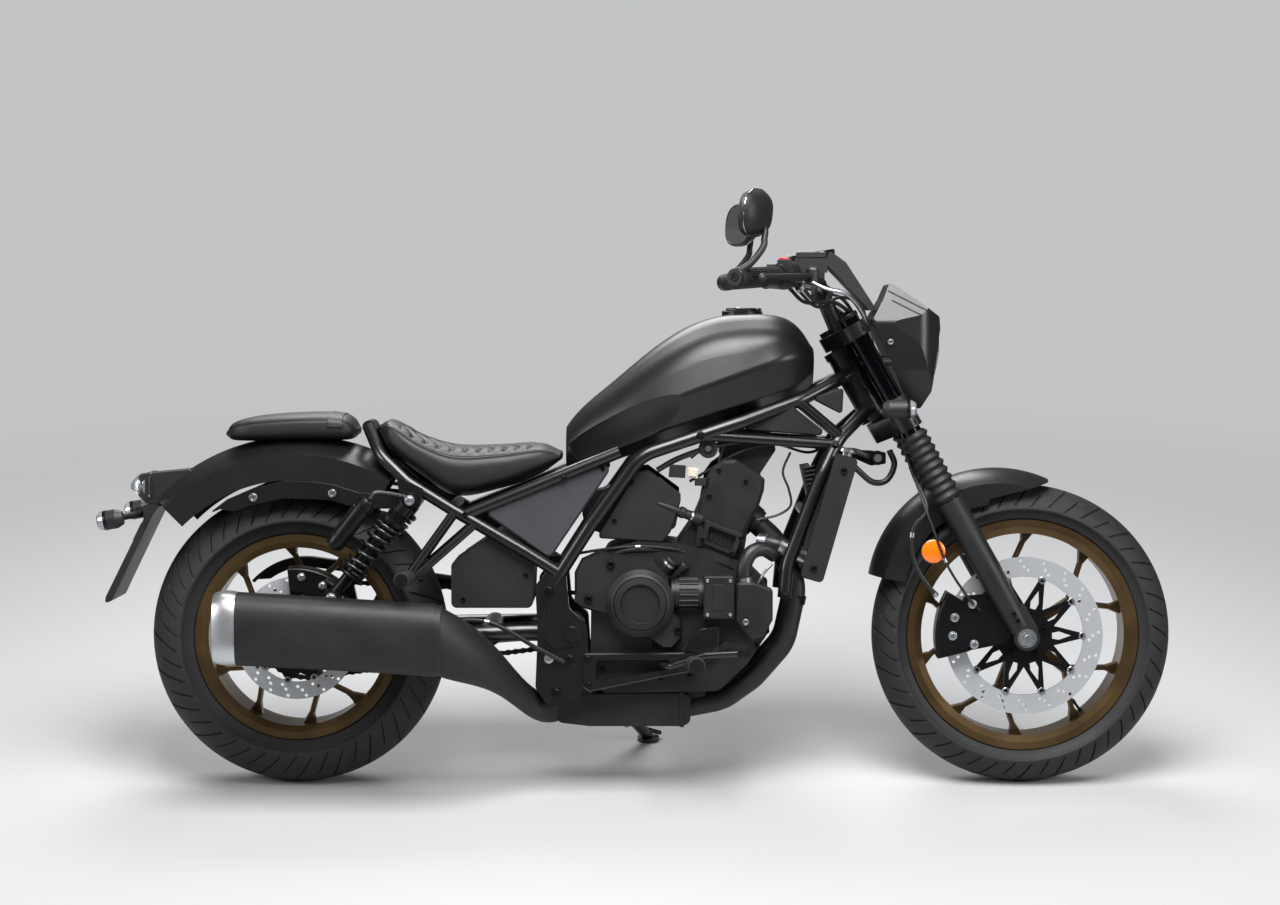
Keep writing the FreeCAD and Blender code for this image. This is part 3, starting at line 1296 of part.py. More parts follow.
def fork():
    """Yokes, legs, boots and the front axle."""
    half, offset = size("fork_half_track"), size("fork_offset")
    low, high = size("lower_yoke_bottom"), size("upper_yoke_bottom")
    inner_tube, leg_radius = size("stanchion_radius"), size("slider_radius")

    def yoke(bottom, height, edge):
        """One clamp plate with its two eyes, narrow behind the steering axis."""
        outline = [
            Vector(-offset - 26, 20, bottom), Vector(-offset - 26, -20, bottom),
            Vector(-18, -half - edge, bottom), Vector(24, -half - edge, bottom),
            Vector(30, -half + 20, bottom), Vector(-16, -30, bottom),
        ]
        outline += [Vector(p.x, -p.y, p.z) for p in reversed(outline[2:])]
        plate = Part.Face(rounded_path(outline, 12, closed=True)).extrude(Vector(0, 0, height))
        eyes = [Part.makeCylinder(inner_tube + 8, height, Vector(0, side * half, bottom)) for side in (-1, 1)]
        return joined(plate, *eyes)

    stem = Part.makeCylinder(size("stem_radius"), high - low - 4, Vector(-offset, 0, low + 2))
    nut = Part.makeCylinder(size("stem_radius") + 5, 10, Vector(-offset, 0, high + size("upper_yoke_height")))
    yokes = joined(yoke(low, size("lower_yoke_height"), 24), yoke(high, size("upper_yoke_height"), 20), stem, nut)
    for side in (-1, 1):
        yokes = yokes.cut(Part.makeCylinder(inner_tube, high - low + 100, Vector(0, side * half, low - 20)))
    yokes.Placement = FORK
    finish("fork_yokes", yokes)
    legs, boots, sliders = [], [], []
    top = high + size("upper_yoke_height") + 16
    bottom = size("slider_top")
    for side in (-1, 1):
        across = side * half
        legs.append(joined(
            Part.makeCylinder(inner_tube, top - bottom, Vector(0, across, bottom)),
            Part.makeCylinder(inner_tube - 5, 6, Vector(0, across, top)),
        ))
        count = int(size("boot_pleats"))
        low_end, high_end = bottom + 2, size("boot_top")
        pitch = (high_end - low_end) / count
        points = [Vector(inner_tube, 0, low_end)]
        for i in range(count):
            z = low_end + i * pitch
            points += [Vector(size("boot_radius") - 6, 0, z), Vector(size("boot_radius"), 0, z + pitch / 2)]
        points += [Vector(size("boot_radius") - 6, 0, high_end), Vector(inner_tube, 0, high_end)]
        boot = Part.Face(Part.makePolygon(points + [points[0]])).revolve(Vector(0, 0, 0), Vector(0, 0, 1), 360)
        boot.translate(Vector(0, across, 0))
        boots.append(boot)
        slider = joined(
            Part.makeCone(leg_radius - 4, leg_radius, 120, Vector(0, across, 20)),
            Part.makeCylinder(leg_radius, bottom - 140, Vector(0, across, 140)),
            Part.makeCylinder(leg_radius - 1, 2 * (leg_radius - 4), Vector(0, across - leg_radius + 4, 0),
                              Vector(0, 1, 0)),
            Part.makeBox(22, 2 * leg_radius - 14, 60, Vector(8, across - leg_radius + 7, 4)),
            Part.makeCylinder(8, size("boot_radius") - leg_radius + 4,
                              Vector(0, side * (half - size("boot_radius")), bottom - 14), Vector(0, side, 0)),
        )
        reach = half + 3 * leg_radius
        bore = Part.makeCylinder(size("front_axle_radius"), 2 * reach, Vector(0, -reach, 0), Vector(0, 1, 0))
        sliders.append(slider.cut(bore))
    for label, items in (("fork_stanchions", legs), ("fork_boots", boots), ("fork_sliders", sliders)):
        pair = Part.makeCompound(items)
        pair.Placement = FORK
        finish(label, pair)
    front_caliper, rear_caliper = calipers()
    finish("front_caliper", trimmed(front_caliper, "fork_sliders"))
    finish("rear_caliper", trimmed(rear_caliper, "swingarm", "shock_absorbers", "rear_axle"))
    reach = half + leg_radius - 5
    shaft = rod(FRONT_AXLE + Vector(0, -reach, 0), FRONT_AXLE + Vector(0, reach, 0), size("front_axle_radius"))
    finish("front_axle", shaft)


def handlebar():
    """The bar with its risers, the grips, the hand controls, the mirrors and the display."""
    half, radius = size("bar_half_width"), size("bar_radius")
    clamp, bend = by_head(1100, -40, 1030), by_head(1092, 300 - half, 1052)
    elbow, end = by_head(1004, 128 - half, 1066), by_head(916, -half, 1060)
    inboard, outboard = (bend - elbow).normalize(), (end - elbow).normalize()
    side_points = [clamp, bend, elbow, end]
    right = tube(side_points, radius, 60)
    left = tube(mirrored(side_points), radius, 60)
    middle = rod(clamp, mirrored([clamp])[0], radius)
    yoke_top = size("upper_yoke_bottom") + size("upper_yoke_height")
    risers = [
        rod(on_fork(yoke_top - 8, side * 40, -27), Vector(clamp.x, side * 40, clamp.z), 15) for side in (-1, 1)
    ]
    caps = [
        rod(Vector(clamp.x, side * 54, clamp.z), Vector(clamp.x, side * 26, clamp.z), 20) for side in (-1, 1)
    ]
    bar = trimmed(joined(middle, right, left, *risers, *caps), "fork_yokes")
    finish("handlebar", max(bar.Solids, key=lambda solid: solid.Volume))
    grip_radius = size("grip_radius")
    grip = joined(
        rod(elbow + outboard * 14, end + outboard * 2, grip_radius),
        rod(elbow + outboard * 14, elbow + outboard * 20, grip_radius + 5),
    )
    finish("grips", both_sides(trimmed(grip, "handlebar")))
    switch = rod(elbow + inboard * 60, elbow + outboard * 10, 21)
    housing = rod(elbow + inboard * 42 + Vector(0, 0, 8), elbow + inboard * 4 + Vector(0, 0, 8), 22)
    cylinder = elbow + inboard * 66 + Vector(2, 0, 18)
    master = joined(
        Part.makeBox(64, 46, 30, cylinder + Vector(-4, -24, -8)),
        Part.makeBox(58, 50, 7, cylinder + Vector(-1, -26, 23)),
        rod(elbow + inboard * 52, elbow + inboard * 66 + Vector(30, 0, 4), 14),
    )
    knuckle = elbow + inboard * 40 + Vector(44, 0, 2)
    lever = tube([
        knuckle, knuckle + outboard * 40 + Vector(6, 0, 0), end + Vector(46, 4, 0), end + Vector(42, -12, -2),
    ], 6, 16)
    lever_end = Part.makeSphere(9, end + Vector(42, -12, -2))
    controls = joined(switch, housing, master, lever, lever_end, rod(knuckle - Vector(0, 0, 12),
                                                                   knuckle + Vector(0, 0, 12), 13))
    finish("hand_controls", both_sides(trimmed(controls, "handlebar", "grips")))
    mirrors(end, outboard)
    top = by_head(1080, 0, 1114)
    down = Vector(0.17, 0, -0.985)
    meter = joined(
        rod(top, top + down * 10, 46), rod(top + down * 10, top + down * 34, 46, 30),
        Part.makeBox(26, 50, 66, by_head(1078, -25, 1030)),
    )
    visor = [by_head(x, -66, z) for x, z in (
        (1112, 1120), (1146, 1095), (1208, 1000), (1197, 994), (1130, 1066), (1104, 1092),
    )]
    screen = Part.Face(rounded_path(visor, 5, closed=True)).extrude(Vector(0, 132, 0))
    finish("display", trimmed(joined(meter, screen), "handlebar", "fork_yokes"))


def mirrors(bar_end, outboard):
    """A mirror on a bent arm, clamped on each end of the bar."""
    centre = bar_end + Vector(34, 8, 126)
    ring = rod(bar_end + outboard * 2.3, bar_end + outboard * 20, 19)
    arm = tube([
        bar_end + outboard * 12, bar_end + Vector(20, -8, 28), bar_end + Vector(45, -2, 62),
        centre - Vector(0, 0, 40),
    ], 6.5, 22)
    tilt = Vector(0.1, 0, 0.995)
    head = loft([
        oval(centre + Vector(d, 0, 0), Vector(0, 1, 0), tilt, across, up, 2.6, 12)
        for d, across, up in ((-15, 68, 44), (-9, 73, 49), (4, 66, 43), (17, 34, 22))
    ])
    finish("mirrors", both_sides(trimmed(joined(ring, arm, head), "handlebar", "grips", "hand_controls")))


def headlamp():
    """The lamp cowl ahead of the fork, its round lamp, and the front signals beside it."""
    side = side_plate(
        [(1237, 1055), (1341, 982), (1343, 957), (1324, 826), (1301, 788), (1275, 801), (1198, 974), (1223, 1019)],
        -120, 120, 8,
    )
    front = [(66, 1062), (112, 972), (98, 872), (56, 780)]
    shield = [by_head(1150, y, z) for y, z in front]
    shield += [Vector(p.x, -p.y, p.z) for p in reversed(shield)]
    facing = Part.Face(rounded_path(shield, 22, closed=True)).extrude(Vector(260, 0, 0))
    plan = [by_head(x, y, 760) for x, y in ((1180, -118), (1310, -104), (1352, -56))]
    plan += [Vector(p.x, -p.y, p.z) for p in reversed(plan)]
    above = Part.Face(rounded_path(plan, 40, closed=True)).extrude(Vector(0, 0, 320))
    cowl = side.common(facing).common(above)
    face = by_head(1330, 0, 880)
    ahead = Vector(0.98, 0, -0.2).normalize()
    cowl = cowl.cut(rod(face - ahead * 14, face + ahead * 40, LAMP_RADIUS))
    lens = rod(face - ahead * 15, face - ahead * 8, LAMP_RADIUS - 1.5)
    dome = rod(face - ahead * 8.5, face - ahead * 2, LAMP_RADIUS - 1.5, LAMP_RADIUS - 16)
    brackets = [rod(by_head(1204, side * 102, 890), by_head(1256, side * 86, 890), 9) for side in (-1, 1)]
    cowl = trimmed(joined(cowl, lens, dome, *brackets), "fork_stanchions", "fork_yokes", "display")
    finish("headlamp", max(cowl.Solids, key=lambda solid: solid.Volume))
    half = size("fork_half_track")
    stalk = rod(by_head(1226, -half - 18, 792), by_head(1240, -176, 793), 8)
    lens = joined(
        rod(by_head(1226, -190, 793), by_head(1268, -190, 793), 18.5),
        rod(by_head(1226, -190, 793), by_head(1214, -190, 793), 18.5, 12),
        rod(by_head(1268, -190, 793), by_head(1281, -190, 793), 18.5, 13),
    )
    clamp = Part.makeCylinder(27, 24, Vector(0, -half, 545))
    clamp = clamp.cut(Part.makeCylinder(size("stanchion_radius"), 60, Vector(0, -half, 530)))
    clamp.Placement = FORK
    signal = trimmed(joined(stalk, lens, clamp), "headlamp", "fork_yokes", "fork_stanchions")
    finish("front_signals", both_sides(signal))


def stand_pivot():
    """Where the side stand turns: its pivot, its foot on the floor and its pin's direction."""
    pivot = Vector(size("stand_pivot_forward"), size("stand_pivot_left"), size("stand_pivot_height"))
    left = size("stand_foot_left")
    foot = Vector(size("stand_foot_forward"), left, left * math.tan(LEAN))
    stowed = Vector(-1, 0.12, 0.05)
    return pivot, foot, (foot - pivot).cross(stowed).normalize()


def stand_bracket():
    """The lug under the left pivot plate, with the stand's pin."""
    pivot, foot, axis = stand_pivot()
    half, pin_radius = size("stand_boss_width") / 2, size("stand_pin_radius")
    pin = rod(pivot - axis * (half + 4), pivot + axis * (half + 14), pin_radius)
    head = rod(pivot - axis * (half + 5), pivot - axis * (half + 0.4), pin_radius + 5)
    seat = rod(pivot + axis * (half + 0.4), pivot + axis * (half + 17), size("stand_boss_radius") - 2)
    reach = Vector(size("pivot_forward") - 1, size("pivot_half_width") + 6, size("stand_pivot_height") + 52)
    arm = rod(pivot + axis * (half + 13), reach, 9)
    return joined(pin, head, seat, arm)


def side_stand():
    """The swinging prop stand on the left, with its foot flat on the floor."""
    pivot, foot, axis = stand_pivot()
    up = Vector(0, -math.sin(LEAN), math.cos(LEAN))
    half = size("stand_boss_width") / 2
    boss = rod(pivot - axis * half, pivot + axis * half, size("stand_boss_radius"))
    toward = (foot - pivot).normalize()
    leg = rod(pivot + toward * 10, foot + up * 8, size("stand_leg_radius"))
    pad = Part.makeCylinder(size("stand_foot_radius"), size("stand_foot_height"), foot, up)
    heel = rod(foot + up * 12 - toward * 30, foot + up * 14 + Vector(26, 20, 0), 5)
    bore = rod(pivot - axis * 2 * half, pivot + axis * 2 * half, size("stand_pin_radius") + size("pin_clearance"))
    depth = size("stand_foot_radius") * 3
    below = Part.makeCylinder(depth, depth, foot - up * depth, up)
    finish("side_stand", joined(boss, leg, pad, heel).cut(bore).cut(below))


def check_and_export():
    """Stop on any failed object, then write each sub-part."""
    DOCUMENT.recompute()
    for item in DOCUMENT.Objects:
        if "Invalid" in item.State or "Error" in item.State:
            raise RuntimeError(f"{item.Name} failed: {item.State}")
    os.makedirs("parts", exist_ok=True)
    for label, item in NODES.items():
        if item.Shape.isNull() or not item.Shape.isValid() or not item.Shape.Solids:
            raise RuntimeError(f"{label} has no valid solid")
        item.Shape.exportStep(f"parts/{label}.step")


def build():
    """Make every sub-part in the order in which they seat on each other."""
    for end, axle, rim_turn, disc_turn in (("front", FRONT_AXLE, -15, 18), ("rear", REAR_AXLE, 12, 12)):
        rim(end, axle, rim_turn)
        tyre(end, axle)
        brake_disc(end, axle, disc_turn, end == "front")
    rear_sprocket()
    rear_axle()
    build_frame()
    swingarm()
    clutch_cover()
    crankcase()
    cylinders()
    left_covers()
    radiator()
    exhaust()
    fuel_tank()
    fuel_cap()
    fenders()
    seats()
    side_covers()
    airbox()
    shocks()
    tail()
    foot_controls()
    drive_chain()
    fork()
    handlebar()
    headlamp()
    side_stand()
    check_and_export()


build()
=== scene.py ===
"""Looks of a cruiser motorcycle that leans on its side stand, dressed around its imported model.

Points are given in the machine's own upright frame, in millimetres: x forward from the rear axle,
y to the rider's left and z up from the floor below the rear tyre. Shape.make turns them to metres
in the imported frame. The right side, with negative y, is the one that the camera sees.
"""

import json
import logging
import math
from dataclasses import dataclass, field
from enum import Enum
from typing import Callable, Iterable, Sequence

import bpy
from mathutils import Matrix, Quaternion, Vector
from mathutils.bvhtree import BVHTree


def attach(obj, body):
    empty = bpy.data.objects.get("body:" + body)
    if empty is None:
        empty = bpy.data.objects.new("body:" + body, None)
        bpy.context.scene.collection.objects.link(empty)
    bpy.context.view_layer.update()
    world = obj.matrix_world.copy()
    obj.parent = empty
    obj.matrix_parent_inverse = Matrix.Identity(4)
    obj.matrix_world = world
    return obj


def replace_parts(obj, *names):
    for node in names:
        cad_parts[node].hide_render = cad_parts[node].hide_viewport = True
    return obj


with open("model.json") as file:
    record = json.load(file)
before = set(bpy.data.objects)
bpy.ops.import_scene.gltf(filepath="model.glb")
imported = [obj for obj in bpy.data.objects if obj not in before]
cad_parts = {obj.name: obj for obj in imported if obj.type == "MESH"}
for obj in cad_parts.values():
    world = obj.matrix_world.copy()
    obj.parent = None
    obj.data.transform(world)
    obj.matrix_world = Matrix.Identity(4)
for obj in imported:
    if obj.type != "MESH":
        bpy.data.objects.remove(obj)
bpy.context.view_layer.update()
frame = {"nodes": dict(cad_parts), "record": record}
LOG = logging.getLogger("scene")
Point = Sequence[float]
SIDES = (-1, 1)
# The machine's left, its right, which the camera sees, and its own upward way
LEFT = Vector((0, 1, 0))
RIGHT = Vector((0, -1, 0))
UP = Vector((0, 0, 1))
# The handlebar's last bend on the right, and where the right grip starts and ends
BAR_BEND = Vector((1092, -110, 1052))
GRIP_START = Vector((1004, -282, 1066))
GRIP_END = Vector((916, -410, 1060))
# The corners of the gear change motor's gearbox in the side view
MOTOR_LUGS = ((856, 438), (903, 438), (856, 368), (903, 368))
# Where the seats' sections lie, how low and high they reach and how wide they are
RIDER = (
    (172, 738, 760, 56), (195, 700, 770, 98), (258, 650, 736, 122), (330, 606, 716, 134),
    (430, 622, 716, 130), (510, 652, 719, 112), (550, 680, 702, 86),
)
PILLION = (
    (-149, 729, 746, 44), (-138, 722, 762, 70), (-112, 720, 773, 88), (-60, 720, 781, 96), (0, 722, 785, 98),
    (60, 722, 786, 96), (98, 722, 781, 90), (114, 725, 770, 80), (123, 733, 754, 60),
)


def linear(hex_colour: str) -> tuple[float, float, float, float]:
    """Turn an sRGB hex colour to linear values.

    Args:
        hex_colour: Six hex digits with a leading hash.

    Returns:
        Red, green, blue and an alpha of one.
    """
    parts = [int(hex_colour[i:i + 2], 16) / 255 for i in (1, 3, 5)]
    values = [c / 12.92 if c <= 0.04045 else ((c + 0.055) / 1.055) ** 2.4 for c in parts]
    return values[0], values[1], values[2], 1.0


def add_node(tree: bpy.types.NodeTree, kind: str, settings: dict | None = None,
             links: dict | None = None) -> bpy.types.Node:
    """Add one shader node with its settings and links.

    Args:
        tree: The node tree it goes into.
        kind: The node's type name.
        settings: Attribute names, and input names or numbers, with their values.
        links: Input names or numbers with the output sockets that feed them.

    Returns:
        The new node.
    """
    node = tree.nodes.new(kind)
    for name, value in (settings or {}).items():
        if isinstance(name, str) and hasattr(node, name):
            setattr(node, name, value)
        else:
            node.inputs[name].default_value = value
    for name, socket in (links or {}).items():
        tree.links.new(socket, node.inputs[name])
    return node


def blank_material(name: str) -> tuple[bpy.types.Material, bpy.types.NodeTree, bpy.types.Node]:
    """A new material with its node tree and its shader."""
    material = bpy.data.materials.new(name)
    material.use_nodes = True
    return material, material.node_tree, material.node_tree.nodes["Principled BSDF"]


def put(name: str, data: bpy.types.ID) -> bpy.types.Object:
    """Set a new object with its data in the scene."""
    thing = bpy.data.objects.new(name, data)
    bpy.context.scene.collection.objects.link(thing)
    return thing


def repaint(node: str, material: bpy.types.Material) -> None:
    """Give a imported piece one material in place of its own."""
    mesh = frame["nodes"][node].data
    mesh.materials.clear()
    mesh.materials.append(material)


def square_to(axis: Vector) -> tuple[Vector, Vector]:
    """Two directions that are square to an axis and to each other."""
    across = axis.orthogonal().normalized()
    return across, axis.cross(across)


def circle(middle: Vector, across: Vector, other: Vector, radius: float, sides: int) -> list[Vector]:
    """Points round a middle, in the plane of two directions.

    Args:
        middle: The circle's middle.
        across: Where the first point lies.
        other: The direction a quarter turn on.
        radius: The circle's radius.
        sides: How many points go round.

    Returns:
        The points.
    """
    turns = [math.tau * k / sides for k in range(sides)]
    return [middle + (across * math.cos(t) + other * math.sin(t)) * radius for t in turns]


def boxy(angle: float, power: float) -> tuple[float, float]:
    """The cosine and sine of an angle, swollen so that a round section turns squarer."""
    c, s = math.cos(angle), math.sin(angle)
    return math.copysign(abs(c) ** power, c), math.copysign(abs(s) ** power, s)


@dataclass
class Machine:
    """The upright frame of the machine, worked out from its joints."""

    rear_axle_height: float = 312.387
    front_axle_height: float = 315.003
    wheelbase: float = 1520.0
    rake: float = math.radians(29.3)

    def __post_init__(self) -> None:
        """Read the axle line and the rear axle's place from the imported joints."""
        spin = next(j for j in frame["record"]["behaviour"]["joints"] if j["name"] == "rear_wheel_spin")
        self.left = Vector(spin["axis"]).normalized()
        self.forward = Vector((1.0, 0.0, 0.0))
        self.up = self.forward.cross(self.left)
        turn = Matrix((self.forward, self.left, self.up)).transposed().to_4x4()
        place = Matrix.Translation(Vector(spin["pos_m"])) @ turn
        self.to_packed = place @ Matrix.Scale(0.001, 4) @ Matrix.Translation((0, 0, -self.rear_axle_height))
        self.rear_axle = Vector((0.0, 0.0, self.rear_axle_height))
        self.front_axle = Vector((self.wheelbase, 0.0, self.front_axle_height))
        self.fork_up = Vector((-math.sin(self.rake), 0, math.cos(self.rake)))
        self.fork_forward = Vector((math.cos(self.rake), 0, math.sin(self.rake)))

    def at(self, x: float, y: float, z: float) -> Vector:
        """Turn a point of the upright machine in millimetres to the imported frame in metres."""
        return self.to_packed @ Vector((x, y, z))

    def on_fork(self, up: float, left: float = 0.0, ahead: float = 0.0) -> Vector:
        """A point given along the fork legs from the front axle, in the upright frame."""
        return self.front_axle + self.fork_up * up + Vector((0, left, 0)) + self.fork_forward * ahead


MACHINE = Machine()


class Skin:
    """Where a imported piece's surface lies, so that small parts sit on it."""

    beyond: float = 600.0

    def __init__(self, node: str) -> None:
        """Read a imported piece's faces.

        Args:
            node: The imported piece's name.
        """
        mesh = frame["nodes"][node].data
        back = MACHINE.to_packed.inverted()
        points = [back @ v.co for v in mesh.vertices]
        self.tree = BVHTree.FromPolygons(points, [tuple(p.vertices) for p in mesh.polygons])

    def seat(self, x: float, z: float, side: float = -1.0) -> tuple[Vector, Vector] | None:
        """The outermost point of the surface at a place in the side view, and the way it faces.

        Args:
            x: How far forward.
            z: How far up.
            side: Minus one for the machine's right and one for its left.

        Returns:
            The point and its outward normal, or nothing where the piece isn't.
        """
        start = Vector((x, side * self.beyond, z))
        place, normal, _, _ = self.tree.ray_cast(start, Vector((0, -side, 0)))
        if place is None:
            return None
        return place, normal if normal.y * side > 0 else -normal


class Grain(Enum):
    """How a surface's fine relief runs."""

    EVEN = "even"
    LEATHER = "leather"
    BRUSHED = "brushed"


@dataclass(frozen=True)
class Finish:
    """One real surface: its colour, its gloss, its relief in millimetres and any painted glow."""

    name: str
    colour: str
    roughness: float
    metallic: float = 0.0
    grain: Grain = Grain.EVEN
    grain_mm: float = 1.0
    relief_mm: float = 0.02
    patchy: float = 0.06
    coat: float = 0.0
    clear: float = 0.0
    # Emission on a part that is no lamp: painted glow
    glow: float = 0.0

    def material(self) -> bpy.types.Material:
        """Build the material once and give it back each time after that."""
        known = bpy.data.materials.get(self.name)
        if known:
            return known
        material, tree, shader = blank_material(self.name)
        shader.inputs["Metallic"].default_value = self.metallic
        shader.inputs["Coat Weight"].default_value = self.coat
        shader.inputs["Coat Roughness"].default_value = 0.12
        shader.inputs["Transmission Weight"].default_value = self.clear
        # Painted glow: emission on a part that is no lamp
        if self.glow:
            shader.inputs["Emission Color"].default_value = linear(self.colour)
            shader.inputs["Emission Strength"].default_value = self.glow
        place = add_node(tree, "ShaderNodeTexCoord").outputs["Object"]
        self.paint(tree, shader, place)
        self.emboss(tree, shader, place)
        return material

    def paint(self, tree: bpy.types.NodeTree, shader: bpy.types.Node, place: bpy.types.NodeSocket) -> None:
        """Colour and roughness that drift a little over a hand's breadth, as handled surfaces do."""
        drift = add_node(tree, "ShaderNodeTexNoise", {"Scale": 14.0, "Detail": 4.0}, {"Vector": place})
        red, green, blue, _ = linear(self.colour)
        ramp = add_node(tree, "ShaderNodeValToRGB", links={"Fac": drift.outputs["Fac"]})
        dark, light = 0.3, 0.7
        swing = self.patchy * 2.5
        for stop, place_on, level in zip(ramp.color_ramp.elements, (dark, light), (1 - swing, 1 + swing)):
            stop.position = place_on
            stop.color = (red * level, green * level, blue * level, 1)
        tree.links.new(ramp.outputs["Color"], shader.inputs["Base Color"])
        gloss = add_node(tree, "ShaderNodeMapRange", {
            "From Min": dark, "From Max": light, "To Min": self.roughness * (1 - self.patchy),
            "To Max": self.roughness * (1 + self.patchy),
        }, {"Value": drift.outputs["Fac"]})
        tree.links.new(gloss.outputs["Result"], shader.inputs["Roughness"])

    def emboss(self, tree: bpy.types.NodeTree, shader: bpy.types.Node, place: bpy.types.NodeSocket) -> None:
        """Fine relief at the surface's own scale."""
        scale = 1000 / self.grain_mm
        stretch = (1.0, 0.02 if self.grain is Grain.BRUSHED else 1.0, 1.0)
        mapping = add_node(tree, "ShaderNodeMapping", {"Scale": stretch}, {"Vector": place})
        if self.grain is Grain.LEATHER:
            relief = add_node(tree, "ShaderNodeTexVoronoi", {"feature": "DISTANCE_TO_EDGE", "Scale": scale},
                              {"Vector": mapping.outputs["Vector"]})
            height = relief.outputs["Distance"]
        else:
            relief = add_node(tree, "ShaderNodeTexNoise", {"Scale": scale, "Detail": 2.0},
                              {"Vector": mapping.outputs["Vector"]})
            height = relief.outputs["Fac"]
        bump = add_node(tree, "ShaderNodeBump", {"Strength": 1.0, "Distance": self.relief_mm / 1000},
                        {"Height": height})
        tree.links.new(bump.outputs["Normal"], shader.inputs["Normal"])


class Look:
    """The finishes of the machine, each named for what the real surface is."""

    # Sprayed satin enamel on steel tube: soft highlights with a faint orange peel
    FRAME = Finish("SatinBlackEnamel", "#0b0b0c", 0.32, grain_mm=3.0, relief_mm=0.03, coat=0.25)
    # Matte clear over black basecoat: broad dull highlights, even and slightly grey
    TANK = Finish("MatteBlackBasecoat", "#121214", 0.36, grain_mm=1.2, relief_mm=0.006, patchy=0.04)
    # Die-cast aluminium under dark grey engine paint: a sandy skin
    CAST = Finish("DarkPaintedCastAluminium", "#161718", 0.5, 0.2, grain_mm=1.6, relief_mm=0.05, patchy=0.1)
    # Machined and black anodised aluminium: fine even lines with a sheen
    ANODISED = Finish("BlackAnodisedAluminium", "#141416", 0.34, 0.6, grain_mm=0.8, relief_mm=0.01)
    # Bronze powder coat on cast wheels: warm metallic sparkle under a satin skin
    BRONZE = Finish("BronzePowderCoat", "#5d4a30", 0.34, 0.8, grain_mm=0.9, relief_mm=0.012, patchy=0.09)
    # Ground stainless steel: bright with turning marks
    STAINLESS = Finish("GroundStainlessSteel", "#c9cbce", 0.4, 1.0, Grain.BRUSHED, 1.2, 0.01)
    # Zinc plated fasteners: pale grey with a light bloom
    ZINC = Finish("ZincPlatedSteel", "#b4b7bb", 0.32, 1.0, grain_mm=0.9, relief_mm=0.01)
    # Black oxide fasteners: dull, slightly brown
    OXIDE = Finish("BlackOxideSteel", "#1a1a1b", 0.38, 0.8, grain_mm=0.9, relief_mm=0.012)
    # Oiled chain steel: dark with wet highlights
    CHAIN = Finish("OiledChainSteel", "#3a3936", 0.34, 1.0, grain_mm=1.0, relief_mm=0.02, patchy=0.16)
    # Black chrome on the fork tubes: a dark mirror
    CHROME = Finish("BlackChrome", "#2b2c30", 0.1, 1.0, grain_mm=4.0, relief_mm=0.0015, patchy=0.03)
    # Heat-proof black on steel: dead matte with a chalky drift
    HEAT = Finish("HeatProofBlack", "#121213", 0.55, 0.1, grain_mm=1.4, relief_mm=0.02, patchy=0.1)
    # Grained vinyl over foam: small pebbles with a low sheen
    VINYL = Finish("GrainedBlackVinyl", "#101012", 0.52, grain=Grain.LEATHER, grain_mm=2.2, relief_mm=0.16)
    # Twisted nylon thread
    THREAD = Finish("NylonThread", "#2c2c2e", 0.6, grain_mm=0.7, relief_mm=0.08)
    # Moulded tyre rubber: matte with a fine mould texture
    TYRE = Finish("TyreRubber", "#141415", 0.68, grain_mm=1.8, relief_mm=0.05, patchy=0.1)
    # Soft moulded rubber of gaiters, grips and pads
    RUBBER = Finish("SoftBlackRubber", "#101011", 0.58, grain_mm=1.2, relief_mm=0.03)
    # Extruded rubber hose: smoother than moulded rubber
    HOSE = Finish("RubberHose", "#131314", 0.42, grain_mm=1.0, relief_mm=0.015)
    # Spark-eroded polypropylene: an even fine stipple
    PLASTIC = Finish("TexturedPolypropylene", "#0f0f10", 0.52, grain_mm=1.1, relief_mm=0.035)
    # Painted ABS of the side covers: satin dark grey
    COVER = Finish("SatinGreyAbs", "#38393c", 0.42, grain_mm=1.6, relief_mm=0.008, patchy=0.04)
    # Cream nylon of electrical plugs
    NYLON = Finish("CreamNylon", "#b9b4a4", 0.45, grain_mm=1.0, relief_mm=0.01)
    # Red moulded switch
    SWITCH = Finish("RedAbs", "#a81e1c", 0.35, grain_mm=0.9, relief_mm=0.01)
    # Amber prismatic reflector, with a faint emission that paints the light it throws back, though it is no
    # lamp
    AMBER = Finish("AmberAcrylicPaintedGlow", "#e0700a", 0.18, 0.0, Grain.LEATHER, 3.0, 0.25, coat=0.6, glow=0.12)
    # Red prismatic lens
    RED_LENS = Finish("RedAcrylic", "#8c1210", 0.18, 0.0, Grain.LEATHER, 3.0, 0.25, coat=0.6)
    # Clear lens in front of a silvered bowl
    LENS = Finish("ClearPolycarbonate", "#e6e9ec", 0.06, grain_mm=6.0, relief_mm=0.02, clear=0.85)
    BOWL = Finish("SilveredBowl", "#c8cacd", 0.14, 1.0, grain_mm=5.0, relief_mm=0.02)
    # Front-silvered mirror glass
    MIRROR = Finish("MirrorGlass", "#dfe3e6", 0.02, 1.0, grain_mm=8.0, relief_mm=0.0)
    # White light guide inside the tail lamp
    GUIDE = Finish("WhiteLightGuide", "#dadcde", 0.25, grain=Grain.LEATHER, grain_mm=4.0, relief_mm=0.1)
    # Smoked dial glass
    DIAL = Finish("SmokedDialGlass", "#0d0e10", 0.08, coat=0.8, grain_mm=6.0, relief_mm=0.0)


